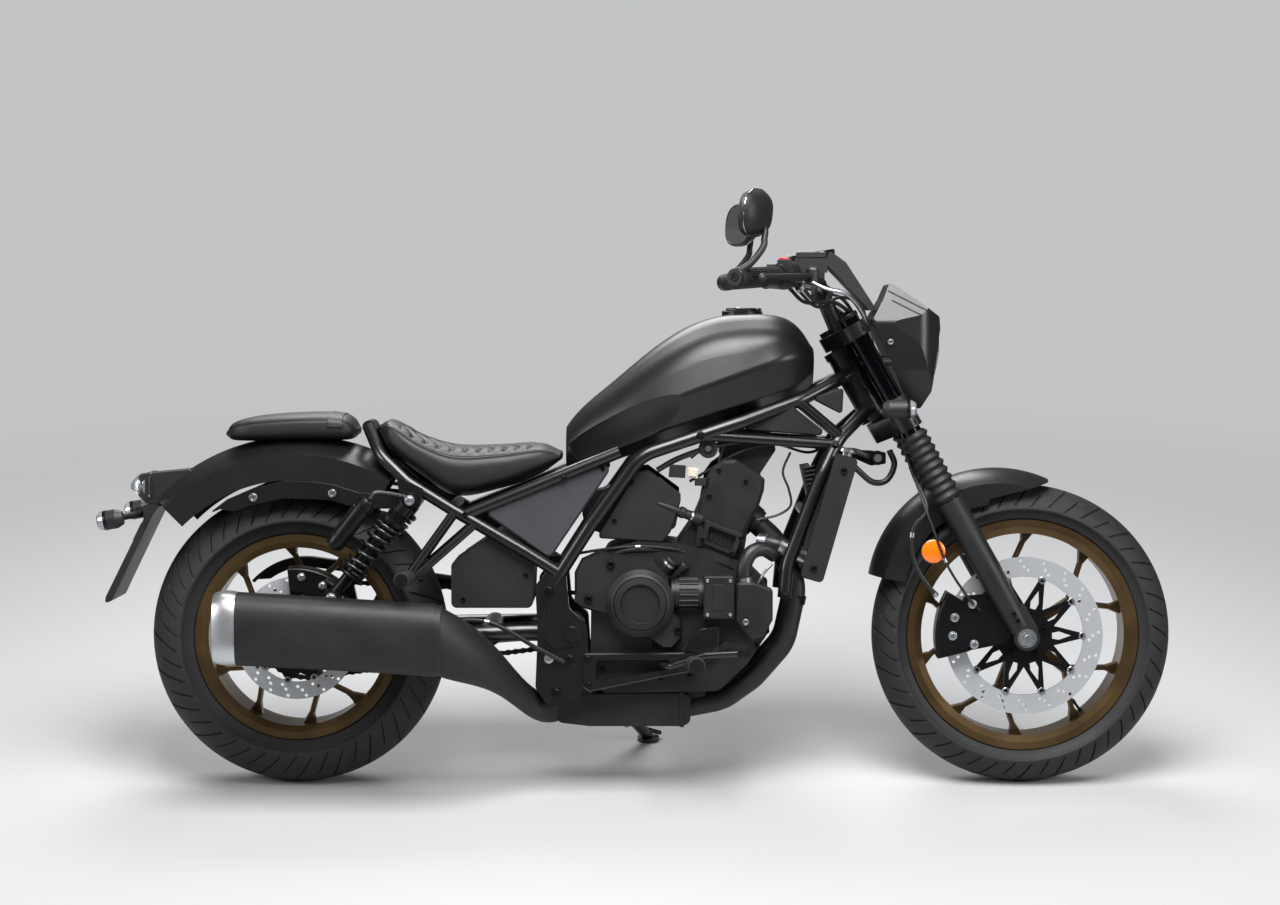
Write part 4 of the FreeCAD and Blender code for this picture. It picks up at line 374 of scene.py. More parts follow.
class Shape:
    """The points and faces of one piece, gathered in the upright frame in millimetres."""

    def __init__(self) -> None:
        """Start with no points."""
        self.points: list[Vector] = []
        self.faces: list[tuple[int, ...]] = []
        self.picks: list[int] = []
        self.pick = 0

    def add(self, points: Iterable[Point], faces: Iterable[Sequence[int]]) -> "Shape":
        """Add points and the faces between them, in the finish picked at the time."""
        first = len(self.points)
        self.points += [Vector(p) for p in points]
        for face in faces:
            self.faces.append(tuple(first + i for i in face))
            self.picks.append(self.pick)
        return self

    def rings(self, rings: Sequence[Sequence[Point]], closed: bool = True, caps: bool = True) -> "Shape":
        """Skin a row of rings that all have as many points.

        Args:
            rings: The rings in order.
            closed: Whether the last point of a ring meets its first.
            caps: Whether the first and last rings are filled.

        Returns:
            This shape.
        """
        count = len(rings[0])
        points = [p for ring in rings for p in ring]
        steps = count if closed else count - 1
        faces = []
        for r in range(len(rings) - 1):
            for i in range(steps):
                a, b = r * count + i, r * count + (i + 1) % count
                faces.append((a, b, b + count, a + count))
        if caps and closed:
            faces.append(tuple(range(count - 1, -1, -1)))
            faces.append(tuple((len(rings) - 1) * count + i for i in range(count)))
        return self.add(points, faces)

    def lathe(self, start: Point, axis: Point, profile: Sequence[tuple[float, float]],
              sides: int = 32) -> "Shape":
        """Turn a profile about an axis.

        Args:
            start: Where the axis begins.
            axis: Its direction.
            profile: Distances along the axis with the radius at each.
            sides: How many flats go round.

        Returns:
            This shape.
        """
        start, axis = Vector(start), Vector(axis).normalized()
        across, other = square_to(axis)
        return self.rings([
            circle(start + axis * along, across, other, max(radius, 0.01), sides) for along, radius in profile
        ])

    def tube(self, route: Sequence[Point], radius: float | Callable[[float], float], sides: int = 12,
             steps: int = 8, smooth: bool = True) -> "Shape":
        """Sweep a round section along a smooth line through the points.

        Args:
            route: The points that the line passes.
            radius: The radius, or a function of the share of the way along.
            sides: How many flats go round.
            steps: Sections in each run between points.
            smooth: Whether the line curves through its points.

        Returns:
            This shape.
        """
        line = smooth_line(route, steps) if smooth else [Vector(p) for p in route]
        reach = radius if callable(radius) else (lambda share: radius)
        last = len(line) - 1
        rings = []
        across = (line[1] - line[0]).orthogonal().normalized()
        for i, place in enumerate(line):
            along = (line[min(i + 1, last)] - line[max(i - 1, 0)]).normalized()
            across = (across - along * across.dot(along)).normalized()
            rings.append(circle(place, across, along.cross(across), reach(i / last), sides))
        return self.rings(rings)

    def slab(self, outline: Sequence[tuple[float, float]], near: float, far: float, edge: float = 1.0,
             round_by: float = 0.0) -> "Shape":
        """A plate with the given outline in the side view and a chamfer round both faces.

        Args:
            outline: Corners as x and z.
            near: Its inner face's distance left of the middle.
            far: Its outer face's distance left of the middle.
            edge: The chamfer's width.
            round_by: The radius of the corners.

        Returns:
            This shape.
        """
        corners = rounded(outline, round_by) if round_by else [Vector((x, z)) for x, z in outline]
        inner = inset(corners, edge)
        step = math.copysign(edge, far - near)
        levels = ((inner, near), (corners, near + step), (corners, far - step), (inner, far))
        return self.rings([[(p.x, y, p.y) for p in ring] for ring, y in levels])

    def box(self, centre: Point, *halves: Point) -> "Shape":
        """A block from its middle and three half edges."""
        a, b, c = (Vector(h) for h in halves)
        middle = Vector(centre)
        ring = [(-1, -1), (1, -1), (1, 1), (-1, 1)]
        return self.rings([[middle + a * i + b * j + c * k for i, j in ring] for k in (-1, 1)])

    def raised(self, corners: Sequence[Point], normal: Point, height: float, edge: float = 1.0,
               sink: float = 1.5) -> "Shape":
        """A pad with a chamfered top on any flat place.

        Args:
            corners: Its outline.
            normal: The way it faces.
            height: How far it stands out.
            edge: The chamfer's width.
            sink: How far its foot goes in.

        Returns:
            This shape.
        """
        ring = [Vector(p) for p in corners]
        out = Vector(normal).normalized()
        middle = sum(ring, Vector()) / len(ring)
        small = [p + (middle - p).normalized() * edge * 1.3 for p in ring]
        return self.rings([
            [p - out * sink for p in ring], [p + out * (height - edge) for p in ring],
            [p + out * height for p in small],
        ])

    def bolt(self, place: Point, axis: Point, radius: float, height: float | None = None,
             socket: bool = True) -> "Shape":
        """A bolt head: a round head with a hexagon socket, or a hexagon on a flange.

        Args:
            place: The middle of its seat.
            axis: The way it faces.
            radius: Its head's radius.
            height: Its head's height, or nothing for the usual share of the radius.
            socket: Whether it has a socket instead of a hexagon.

        Returns:
            This shape.
        """
        tall = height or radius * 0.8
        if socket:
            head = [(-2, radius), (tall * 0.8, radius), (tall, radius * 0.86), (tall, radius * 0.52)]
            return self.lathe(place, axis, [*head, (tall * 0.4, radius * 0.5), (tall * 0.4, 0)], 24)
        flange = [(-2, radius * 1.25), (tall * 0.25, radius * 1.25), (tall * 0.35, radius)]
        self.lathe(place, axis, flange, 24)
        return self.lathe(place, axis, [(0, radius), (tall, radius), (tall * 1.15, radius * 0.8)], 6)

    def mirror(self) -> "Shape":
        """Add the same again on the other side of the machine."""
        first = len(self.points)
        self.points += [Vector((p.x, -p.y, p.z)) for p in self.points]
        self.faces += [tuple(first + i for i in reversed(face)) for face in self.faces]
        self.picks *= 2
        return self

    def make(self, name: str, body: str, slot: str, *looks: Finish, crease: float = 32.0,
             bevel: float = 0.0) -> bpy.types.Object:
        """Turn the shape to an object that rides on a body.

        Args:
            name: The piece's name.
            body: The body it moves with.
            slot: The record's material slot; not used.
            looks: The finishes, in the order in which they were picked.
            crease: Edges sharper than this many degrees stay sharp.
            bevel: The width of a rounded edge in millimetres.

        Returns:
            The new object.
        """
        mesh = bpy.data.meshes.new(name)
        mesh.from_pydata([MACHINE.to_packed @ p for p in self.points], [], self.faces)
        for look in looks:
            mesh.materials.append(look.material())
        mesh.polygons.foreach_set("material_index", self.picks)
        mesh.shade_smooth()
        mesh.set_sharp_from_angle(angle=math.radians(crease))
        mesh.update()
        piece = put(name, mesh)
        if bevel:
            modifier = piece.modifiers.new("Edges", "BEVEL")
            modifier.width = bevel / 1000
            modifier.segments = 2
            modifier.angle_limit = math.radians(crease)
        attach(piece, body)
        LOG.info("%s: %d faces on %s", name, len(self.faces), body)
        return piece


def smooth_line(route: Sequence[Point], steps: int) -> list[Vector]:
    """Points on a smooth curve through a route.

    Args:
        route: The points that the curve passes.
        steps: How many sections lie between two of them.

    Returns:
        The points of the curve.
    """
    points = [Vector(p) for p in route]
    ends = [points[0] * 2 - points[1], *points, points[-1] * 2 - points[-2]]
    line = []
    for a, b, c, d in zip(ends, ends[1:], ends[2:], ends[3:]):
        for i in range(steps):
            t = i / steps
            line.append(0.5 * ((2 * b) + (c - a) * t + (2 * a - 5 * b + 4 * c - d) * t ** 2
                               + (3 * b - a - 3 * c + d) * t ** 3))
    return [*line, points[-1]]


def rounded(outline: Sequence[tuple[float, float]], radius: float, steps: int = 5) -> list[Vector]:
    """An outline with its corners rounded.

    Args:
        outline: The corners in order.
        radius: The wanted radius.
        steps: How many points each round corner has.

    Returns:
        The points of the rounded outline.
    """
    corners = [Vector(p) for p in outline]
    result = []
    for i, corner in enumerate(corners):
        before, after = corners[i - 1], corners[(i + 1) % len(corners)]
        reach = min(radius, 0.45 * (before - corner).length, 0.45 * (after - corner).length)
        start = corner + (before - corner).normalized() * reach
        end = corner + (after - corner).normalized() * reach
        for k in range(steps):
            t = k / (steps - 1)
            result.append(start * (1 - t) ** 2 + corner * 2 * t * (1 - t) + end * t ** 2)
    return result


def inset(corners: Sequence[Vector], by: float) -> list[Vector]:
    """The same outline drawn smaller by a distance.

    Args:
        corners: The corners in order.
        by: How far each side moves in.

    Returns:
        The new corners.
    """
    area = sum(a.x * b.y - b.x * a.y for a, b in zip(corners, [*corners[1:], corners[0]]))
    way = 1 if area > 0 else -1
    result = []
    for i, corner in enumerate(corners):
        back = (corner - corners[i - 1]).normalized()
        ahead = (corners[(i + 1) % len(corners)] - corner).normalized()
        normal = Vector((-back.y - ahead.y, back.x + ahead.x))
        if normal.length < 1e-6:
            normal = Vector((-back.y, back.x))
        normal.normalize()
        share = max(0.35, normal.dot(Vector((-back.y, back.x))))
        result.append(corner + normal * (way * by / share))
    return result


def spread(stations: Sequence[Sequence[float]], x: float) -> list[float]:
    """The values between two stations, eased so that the form flows.

    Args:
        stations: Rows that begin with their place and go upwards.
        x: The place asked for.

    Returns:
        The row's other values there.
    """
    rows = [Vector(row) for row in stations]
    x = min(max(x, rows[0][0]), rows[-1][0])
    i = next(k for k in range(len(rows) - 1) if x <= rows[k + 1][0])
    a, b = rows[i], rows[i + 1]
    before, after = rows[max(i - 1, 0)], rows[min(i + 2, len(rows) - 1)]
    span = b[0] - a[0]
    t = (x - a[0]) / span
    result = []
    for k in range(1, len(a)):
        slope_a = (b[k] - before[k]) / max(b[0] - before[0], 1e-6) * span
        slope_b = (after[k] - a[k]) / max(after[0] - a[0], 1e-6) * span
        t2, t3 = t * t, t * t * t
        result.append((2 * t3 - 3 * t2 + 1) * a[k] + (t3 - 2 * t2 + t) * slope_a + (3 * t2 - 2 * t3) * b[k]
                      + (t3 - t2) * slope_b)
    return result


@dataclass
class Tyre:
    """A round-crowned tyre with curved grooves cut to both shoulders."""

    end: str
    axle: Vector
    radius: float
    width: float
    flange: float
    half_rim: float
    pitches: int = 24
    shoulder: float = math.radians(75)
    depth: float = 3.4
    sections: int = 56
    not_tread: float = 9.0
    columns: tuple[tuple[float, float, float], ...] = (
        (0.0, 0.0, 0.0), (0.015, 1.0, 0.0), (0.07, 1.0, 0.0), (0.085, 0.0, 0.0), (0.29, 0.0, 0.0),
        (0.5, 0.0, 0.0), (0.515, 0.0, 1.0), (0.555, 0.0, 1.0), (0.57, 0.0, 0.0), (0.79, 0.0, 0.0),
    )

    def groove(self, share: float, long: float, short: float) -> float:
        """How deep the tread is cut at a share of the way from the middle to the shoulder."""
        def window(low: float, high: float) -> float:
            """How far the cut is open between two shares, with ramps at its ends."""
            return max(0.0, min(1.0, (share - low) / 0.06, (high - share) / 0.05))
        return self.depth * (long * window(0.16, 0.93) + short * window(0.5, 0.97))

    def lean(self, across: float) -> float:
        """How far round a groove has swept at a distance across the crown, in radians."""
        share = abs(across) / (self.width / 2 * self.shoulder)
        sweep = 0.34 * (share ** 1.6) * self.width / self.radius
        stagger = math.pi / self.pitches * max(-1.0, min(1.0, across / 9)) / 2
        return sweep + stagger

    def make(self) -> bpy.types.Object:
        """Build the tyre's outside, its beads and its inner wall."""
        crown = self.width / 2
        middle = self.radius - crown
        wide, tall = crown * math.sin(self.shoulder), middle + crown * math.cos(self.shoulder)
        rows: list[tuple[float, float, float, float]] = []
        for i in range(self.sections + 1):
            turn = -self.shoulder + 2 * self.shoulder * i / self.sections
            rows.append((middle + crown * math.cos(turn), crown * math.sin(turn), turn * crown, turn))
        wall = [(0.12, 1.2), (0.14, 0.2), (0.5, 1.6), (0.8, 1.0), (0.86, 2.0), (0.93, 2.0), (1.0, 0.0)]
        low_radius, low_across = self.flange + 1.5, self.half_rim + 3
        flank = [
            (tall + (low_radius - tall) * share, wide + (low_across - wide) * share + bulge * 0.8)
            for share, bulge in wall
        ]
        flank += [(self.flange - 6, self.half_rim - 1), (self.flange - 6, self.half_rim - 9),
                  (tall - 9, wide - 10)]
        right = [(r, -a, -crown * self.shoulder, self.not_tread) for r, a in reversed(flank)]
        left = [(r, a, crown * self.shoulder, self.not_tread) for r, a in flank]
        rows = right + rows + left
        shape = Shape()
        rings = []
        for step in range(self.pitches):
            for part, long, short in self.columns:
                base = math.tau * (step + part) / self.pitches
                ring = []
                for r, across, arc, turn in rows:
                    angle = base + self.lean(arc)
                    if turn < self.not_tread:
                        cut = self.groove(abs(arc) / (crown * self.shoulder), long, short)
                        r, across = r - cut * math.cos(turn), across - cut * math.sin(turn)
                    ring.append(self.axle + Vector((r * math.cos(angle), across, r * math.sin(angle))))
                rings.append(ring)
        rings.append(rings[0])
        shape.rings(rings, caps=False)
        piece = shape.make(f"{self.end.title()}Tyre", f"{self.end}_wheel", "tyre", Look.TYRE, crease=50)
        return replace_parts(piece, f"{self.end}_tyre")


@dataclass
class Wheel:
    """What a wheel carries beside its tyre: bobbins, bolts and the valve."""

    end: str
    axle: Vector
    disc_at: float
    bore: float
    turn: float
    barrel: float
    bobbins: int = 10

    def on_disc(self, radius: float, angle: float, out: float) -> Vector:
        """A point on the disc's face at an angle above straight ahead, in degrees."""
        a = math.radians(angle)
        return self.axle + Vector((radius * math.cos(a), -out, radius * math.sin(a)))

    def make(self) -> None:
        """Build the bobbins, the hub bolts and the valve."""
        pins = Shape()
        for i in range(self.bobbins):
            angle = 90 - self.turn - 360 * i / self.bobbins
            place = self.on_disc(self.bore - 2, angle, self.disc_at + 5)
            head = [(0.8, 7.6), (2.2, 7.6), (2.8, 6.8), (2.8, 4.2), (1.0, 3.8), (1.0, 0)]
            pins.lathe(place, RIGHT, head, 28)
        pins.make(f"{self.end.title()}DiscBobbins", f"{self.end}_wheel", "stainless", Look.ZINC)
        bolts = Shape()
        for i in range(5):
            angle = 18 + 72 * i
            bolts.bolt(self.on_disc(44, angle, self.disc_at + 5), RIGHT, 6.5, 6)
        bolts.make(f"{self.end.title()}DiscBolts", f"{self.end}_wheel", "dark_steel", Look.OXIDE)
        valve = Shape()
        root = self.on_disc(self.barrel - 1, -52, -8)
        inward = (self.axle - root).normalized() + Vector((0, -0.35, 0))
        stem = [(-3, 4.5), (4, 4.2), (6, 2.9), (24, 2.9), (24, 3.9), (33, 3.9), (34, 3.2)]
        valve.lathe(root, inward, stem, 16)
        valve.make(f"{self.end.title()}Valve", f"{self.end}_wheel", "black_rubber", Look.RUBBER)


@dataclass
class Saddle:
    """A seat moulded in foam, covered in vinyl, with sewn channels, a side seam and its stitches."""

    name: str
    node: str
    stations: tuple[tuple[float, float, float, float], ...]
    seam: float
    channels: tuple[float, float] | None = None
    power: float = 3.0
    inside: float = 1.5
    dish: float = 3.0
    channel_gap: float = 27.0
    channel_depth: float = 4.2
    channel_half: float = 4.5
    channel_end: float = 0.86
    channel_wave: float = 16.0
    quilt: float = 1.6
    seam_pull: float = 1.6
    seam_width: float = 0.07

    def surface(self, x: float, angle: float) -> Vector:
        """A point of the skin at a place along the seat and an angle round its section."""
        low, high, half = spread(self.stations, x)
        wide, tall = boxy(angle, 2 / self.power)
        across = wide * (half - self.inside)
        z = (low + high) / 2 + tall * ((high - low) / 2 - self.inside)
        share = across / half
        if tall > 0:
            z += self.quilting(x, share) - self.dish * (1 - share ** 2)
        crease = abs(math.atan2(math.sin(angle), abs(math.cos(angle))) - self.seam)
        pull = self.seam_pull * max(0.0, 1 - crease / self.seam_width)
        across -= math.copysign(pull, across)
        return Vector((x, across, z))

    def quilting(self, x: float, share: float) -> float:
        """How far the sewn channels raise or sink the top at a place and a share of the half width."""
        side = abs(share)
        if not self.channels or side >= self.channel_end or not self.channels[0] < x < self.channels[1]:
            return 0.0
        run = x + self.channel_wave * math.cos(share * math.pi * 1.5)
        near = abs((run / self.channel_gap) % 1 - 0.5) * self.channel_gap
        ends = (x - self.channels[0]) / 12, (self.channels[1] - x) / 12
        fade = min(1, (self.channel_end - side) / 0.06, *ends)
        rise = self.quilt * fade * math.sin(math.pi * min(1.0, near / (self.channel_gap / 2)) / 2)
        return rise - self.channel_depth * max(0.0, 1 - near / self.channel_half) ** 0.7 * fade

    def make(self) -> bpy.types.Object:
        """Build the skin, its piping and its stitches."""
        first, last = self.stations[0][0], self.stations[-1][0]
        count, around = 150, 128
        shape = Shape()
        rings = []
        for i in range(count + 1):
            t = i / count
            x = first + (last - first) * (t - math.sin(math.tau * t) / math.tau * 0.5)
            rings.append([self.surface(x, math.tau * (k + 0.5) / around) for k in range(around)])
        front, back = self.bulge(rings[-1], rings[-2], 4.0), self.bulge(rings[0], rings[1], 4.0)
        shape.rings([*reversed(back), *rings, *front])
        skin = shape.make(self.name, "chassis", "black_vinyl", Look.VINYL, crease=70)
        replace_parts(skin, self.node)
        self.sew(first, last)
        return skin

    def bulge(self, ring: list[Vector], before: list[Vector], reach: float) -> list[list[Vector]]:
        """Rings that close an end with a soft roll."""
        middle = sum(ring, Vector()) / len(ring)
        step = math.copysign(reach, ring[0].x - before[0].x)
        return [
            [middle + (p - middle) * math.cos(t) + Vector((step * math.sin(t), 0, 0)) for p in ring]
            for t in (0.4, 0.8, 1.15, 1.4)
        ]

    def sew(self, first: float, last: float) -> None:
        """Lay piping along each side's seam, with a row of stitches above it."""
        piping, thread = Shape(), Shape()
        run = last - first
        for side in SIDES:
            line = []
            for i in range(61):
                x = first + run * (0.03 + 0.94 * i / 60)
                angle = self.seam if side > 0 else math.pi - self.seam
                line.append(self.surface(x, angle) + Vector((0, side * 0.3, 0)))
            piping.tube(line, 1.9, 8, 1)
            stitches = int(sum((b - a).length for a, b in zip(line, line[1:])) / 7)
            for k in range(stitches):
                x = first + run * (0.04 + 0.92 * (k + 0.5) / stitches)
                angle = self.seam + 0.1 if side > 0 else math.pi - self.seam - 0.1
                a, b = self.surface(x - 2.1, angle), self.surface(x + 2.1, angle)
                out = Vector((0, side * 0.25, 0.3))
                thread.tube([a - out * 0.8, (a + b) / 2 + out * 1.6, b - out * 0.8], 0.7, 6, 2)
        piping.make(f"{self.name}Piping", "chassis", "black_vinyl", Look.VINYL)
        thread.make(f"{self.name}Stitches", "chassis", "black_vinyl", Look.THREAD)


@dataclass
class DriveChain:
    """A roller chain round both sprockets, link by link."""

    line: float = 99.4
    links: int = 112
    rear: float = 104.5
    front: float = 48.5
    reach: float = 655.0
    rise: float = 25.613
    plate: float = 1.7

    def spans(self) -> tuple[float, float, float, float]:
        """The angle at which the runs leave, a run's length and the arcs round front and rear sprocket."""
        span = math.hypot(self.reach, self.rise)
        lead = math.acos((self.rear - self.front) / span)
        run = math.sqrt(span ** 2 - (self.rear - self.front) ** 2)
        return lead, run, 2 * lead * self.front, 2 * (math.pi - lead) * self.rear

    def place(self, distance: float) -> Vector:
        """A point of the chain's middle line at a distance along it."""
        lead, run, front_arc, _ = self.spans()
        tilt = math.atan2(self.rise, self.reach)
        hub = Vector((self.reach, 0, self.rise))

        def facing(angle: float) -> Vector:
            """The way from a hub at an angle above straight ahead."""
            return Vector((math.cos(angle), 0, math.sin(angle)))

        if distance < run:
            angle = tilt + lead
            start, end = facing(angle) * self.rear, hub + facing(angle) * self.front
            spot = start + (end - start) * (distance / run)
        elif distance < run + front_arc:
            angle = tilt + lead - (distance - run) / self.front
            spot = hub + facing(angle) * self.front
        elif distance < 2 * run + front_arc:
            angle = tilt - lead
            start, end = hub + facing(angle) * self.front, facing(angle) * self.rear
            spot = start + (end - start) * ((distance - run - front_arc) / run)
        else:
            angle = tilt - lead - (distance - 2 * run - front_arc) / self.rear
            spot = facing(angle) * self.rear
        return MACHINE.rear_axle + spot + Vector((0, self.line, 0))

    def link(self, shape: Shape, a: Vector, b: Vector, out: float) -> None:
        """Two waisted side plates between neighbouring pins, and one roller."""
        along = (b - a).normalized()
        up = along.cross(LEFT)
        pitch = (b - a).length
        outline = []
        for centre, start in ((pitch, -75), (0.0, 105)):
            for k in range(7):
                t = math.radians(start + 25 * k)
                outline.append(Vector((centre + 6.0 * math.cos(t), 6.0 * math.sin(t))))
            outline.append(Vector((pitch / 2, 3.9 if centre else -3.9)))
        for side in SIDES:
            near, far = sorted((side * out, side * (out + self.plate)))
            flat = [a + along * p.x + up * p.y for p in outline]
            shape.rings([[p + Vector((0, y, 0)) for p in flat] for y in (near, far)])
        shape.lathe(a - Vector((0, 3.3, 0)), LEFT, [(0, 4.9), (6.6, 4.9)], 12)
        shape.lathe(a - Vector((0, 6.15, 0)), LEFT, [(0, 2.5), (12.3, 2.5)], 8)

    def make(self) -> bpy.types.Object:
        """Build every link."""
        shape = Shape()
        _, run, front_arc, rear_arc = self.spans()
        pitch = (2 * run + front_arc + rear_arc) / self.links
        pins = [self.place(i * pitch) for i in range(self.links)]
        for i, pin in enumerate(pins):
            self.link(shape, pin, pins[(i + 1) % self.links], 2.5 if i % 2 else 4.3)
        piece = shape.make("DriveChain", "chassis", "dark_steel", Look.CHAIN, crease=40)
        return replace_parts(piece, "drive_chain")


@dataclass
class Shocks:
    """Two coil-over shocks with helical springs and hoses to their reservoirs."""

    top: Vector = field(default_factory=lambda: Vector((243, -160, 605)))
    foot: Vector = field(default_factory=lambda: Vector((81, -160, 404)))
    wire: float = 4.4
    coil: float = 24.4
    turns: float = 7.5
    spring: tuple[float, float] = (62.0, 194.0)

    def helix(self, shape: Shape) -> None:
        """The spring, its end coils ground closer together."""
        down = (self.foot - self.top).normalized()
        other = down.cross(LEFT)
        start, end = self.spring
        line = []
        count = int(self.turns * 22)
        for i in range(count + 1):
            share = i / count
            eased = share - 0.06 * math.sin(math.tau * share)
            angle = math.tau * self.turns * share
            along = start + self.wire + (end - start - 2 * self.wire) * eased
            out = LEFT * math.cos(angle) + other * math.sin(angle)
            line.append(self.top + down * along + out * self.coil)
        shape.tube(line, self.wire, 12, smooth=False)

    def make(self) -> bpy.types.Object:
        """Build both units as one piece."""
        shape = Shape()
        down = (self.foot - self.top).normalized()
        length = (self.foot - self.top).length
        eye = [(0, 13.5), (2.5, 15.8), (28.5, 15.8), (31, 13.5)]
        for place in (self.top, self.foot):
            shape.lathe(place - Vector((0, 15.5, 0)), LEFT, eye, 32)
        start, end = self.spring
        body = [
            (10, 10), (14, 19), (34, 19.5), (36, 17.5), (42, 17.5), (44, 20), (start - 12, 20),
            (start - 12, 24), (start - 9, 30.5), (start - 3, 30.5), (start - 1, 29), (start, 29),
            (start, 16.5), (end, 16.5), (end, 29.5), (end + 3, 30.5), (end + 7, 29), (end + 8, 12.5),
            (length - 12, 12.5), (length - 8, 9),
        ]
        shape.lathe(self.top, down, body, 40)
        for i in range(6):
            at = start - 30 + 4 * i
            shape.lathe(self.top, down, [(at, 20), (at + 1, 21.6), (at + 2, 21.6), (at + 3, 20)], 36)
        head, tail = Vector((161, -194, 607)), Vector((84, -194, 507.4))
        back = (tail - head).normalized()
        bottle = [(0, 12), (1, 17), (6, 19.4), (20, 19.4), (21, 18.2), (25, 18.2), (26, 19.6),
                  (92, 19.6), (93, 18), (97, 18), (98, 19.6), (112, 19.6), (120, 17), (124, 11)]
        shape.lathe(head, back, bottle, 36)
        shape.pick = 1
        hose = [head - back * 2, head - back * 18 + Vector((8, 6, 0)),
                self.top + down * 8 + Vector((4, -10, 10)), self.top + down * 16 + Vector((0, -6, 4))]
        shape.tube(hose, 5.2, 12)
        shape.pick = 2
        self.helix(shape)
        shape.pick = 3
        for place in (self.top, self.foot):
            shape.bolt(place - Vector((0, 17, 0)), RIGHT, 8.5, 6, socket=False)
        shape.pick = 4
        shape.lathe(self.top, down, [(end - 6, 8.2), (end + 22, 8.2)], 24)
        shape.mirror()
        looks = (Look.ANODISED, Look.HOSE, Look.FRAME, Look.ZINC, Look.CHROME)
        piece = shape.make("RearShocks", "chassis", "black_alloy", *looks)
        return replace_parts(piece, "shock_absorbers")


@dataclass
class Studio:
    """The camera, the pale floor and the soft lights."""

    photo_width: int = 1280
    sensor: float = 36.0
    focal_pixels: float = 3083.0
    distance: float = 6500.0
    stand: float = 716.7
    height: float = 975.0
    pitch: float = 2.46
    backdrop: str = "#c3c4c5"
    paper: str = "#afb0b1"
    air: str = "#eceef0"
    paper_fades: tuple[float, float] = (0.9, 4.2)
    paper_glow: float = 0.22
    room_light: float = 0.12
    floor_half: float = 40.0
    lamps: tuple[tuple[str, Point, float, float], ...] = (
        ("KeyLamp", (0.1, -1.5, 3.3), 215, 2.0), ("RimLamp", (-0.4, 2.2, 3.0), 120, 2.2),
        ("FrontLamp", (3.2, -2.0, 1.6), 50, 1.2), ("TailLamp", (-3.2, -1.8, 1.8), 45, 1.2),
    )

    def place_camera(self) -> None:
        """Set the camera square to the machine's right side, as the photograph has it."""
        data = bpy.data.cameras.new("Camera")
        data.sensor_width = self.sensor
        data.lens = self.focal_pixels / self.photo_width * self.sensor
        camera = put("Camera", data)
        tilt = math.radians(self.pitch)
        look = MACHINE.left * math.cos(tilt) - MACHINE.up * math.sin(tilt)
        side = look.cross(MACHINE.up).normalized()
        above = side.cross(look)
        camera.matrix_world = Matrix((side, above, -look)).transposed().to_4x4()
        camera.location = MACHINE.at(self.stand, -self.distance, self.height)
        bpy.context.scene.camera = camera

    def seen(self, tree: bpy.types.NodeTree) -> bpy.types.NodeSocket:
        """Whether a ray comes from the camera or through glass."""
        path = add_node(tree, "ShaderNodeLightPath")
        rays = {0: path.outputs["Is Camera Ray"], 1: path.outputs["Is Transmission Ray"]}
        return add_node(tree, "ShaderNodeMath", {"operation": "MAXIMUM"}, rays).outputs["Value"]

    def lay_floor(self) -> None:
        """Lay a pale matte floor, large enough for every view."""
        mesh = bpy.data.meshes.new("Floor")
        half = self.floor_half
        corners = [(-half, -half, 0), (half, -half, 0), (half, half, 0), (-half, half, 0)]
        mesh.from_pydata(corners, [], [(0, 1, 2, 3)])
        floor = put("Floor", mesh)
        material, tree, shader = blank_material("PaleStudioPaper")
        shader.inputs["Base Color"].default_value = linear(self.paper)
        shader.inputs["Roughness"].default_value = 0.8
        shader.inputs["Specular IOR Level"].default_value = 0.1
        place = add_node(tree, "ShaderNodeTexCoord").outputs["Object"]
        reach = add_node(tree, "ShaderNodeVectorMath", {"operation": "LENGTH"}, {0: place})
        near, off = self.paper_fades
        fade = {"interpolation_type": "SMOOTHSTEP", "From Min": near, "From Max": off}
        far = add_node(tree, "ShaderNodeMapRange", fade, {"Value": reach.outputs["Value"]})
        level = add_node(tree, "ShaderNodeMapRange", {"To Min": self.paper_glow}, {"Value": self.seen(tree)})
        glow = add_node(tree, "ShaderNodeEmission", {"Color": linear(self.backdrop)},
                        {"Strength": level.outputs["Result"]})
        mix = add_node(tree, "ShaderNodeMixShader", None, {
            0: far.outputs["Result"], 1: shader.outputs["BSDF"], 2: glow.outputs["Emission"],
        })
        tree.links.new(mix.outputs["Shader"], tree.nodes["Material Output"].inputs["Surface"])
        mesh.materials.append(material)

    def hang_lights(self) -> None:
        """Hang large soft lamps and fill the room with even light."""
        world = bpy.data.worlds.new("Studio")
        world.use_nodes = True
        tree = world.node_tree
        room = tree.nodes["Background"]
        room.inputs["Color"].default_value = linear(self.air)
        room.inputs["Strength"].default_value = self.room_light
        backdrop = add_node(tree, "ShaderNodeBackground", {"Color": linear(self.backdrop), "Strength": 1.0})
        mix = add_node(tree, "ShaderNodeMixShader", None, {
            0: self.seen(tree), 1: room.outputs["Background"], 2: backdrop.outputs["Background"],
        })
        tree.links.new(mix.outputs["Shader"], tree.nodes["World Output"].inputs["Surface"])
        bpy.context.scene.world = world
        for name, place, power, reach in self.lamps:
            data = bpy.data.lights.new(name, "AREA")
            data.energy = power
            data.size = reach
            lamp = put(name, data)
            lamp.location = place
            aim = Vector((0.0, 0.0, 0.5)) - Vector(place)
            lamp.rotation_euler = aim.to_track_quat("-Z", "Y").to_euler()


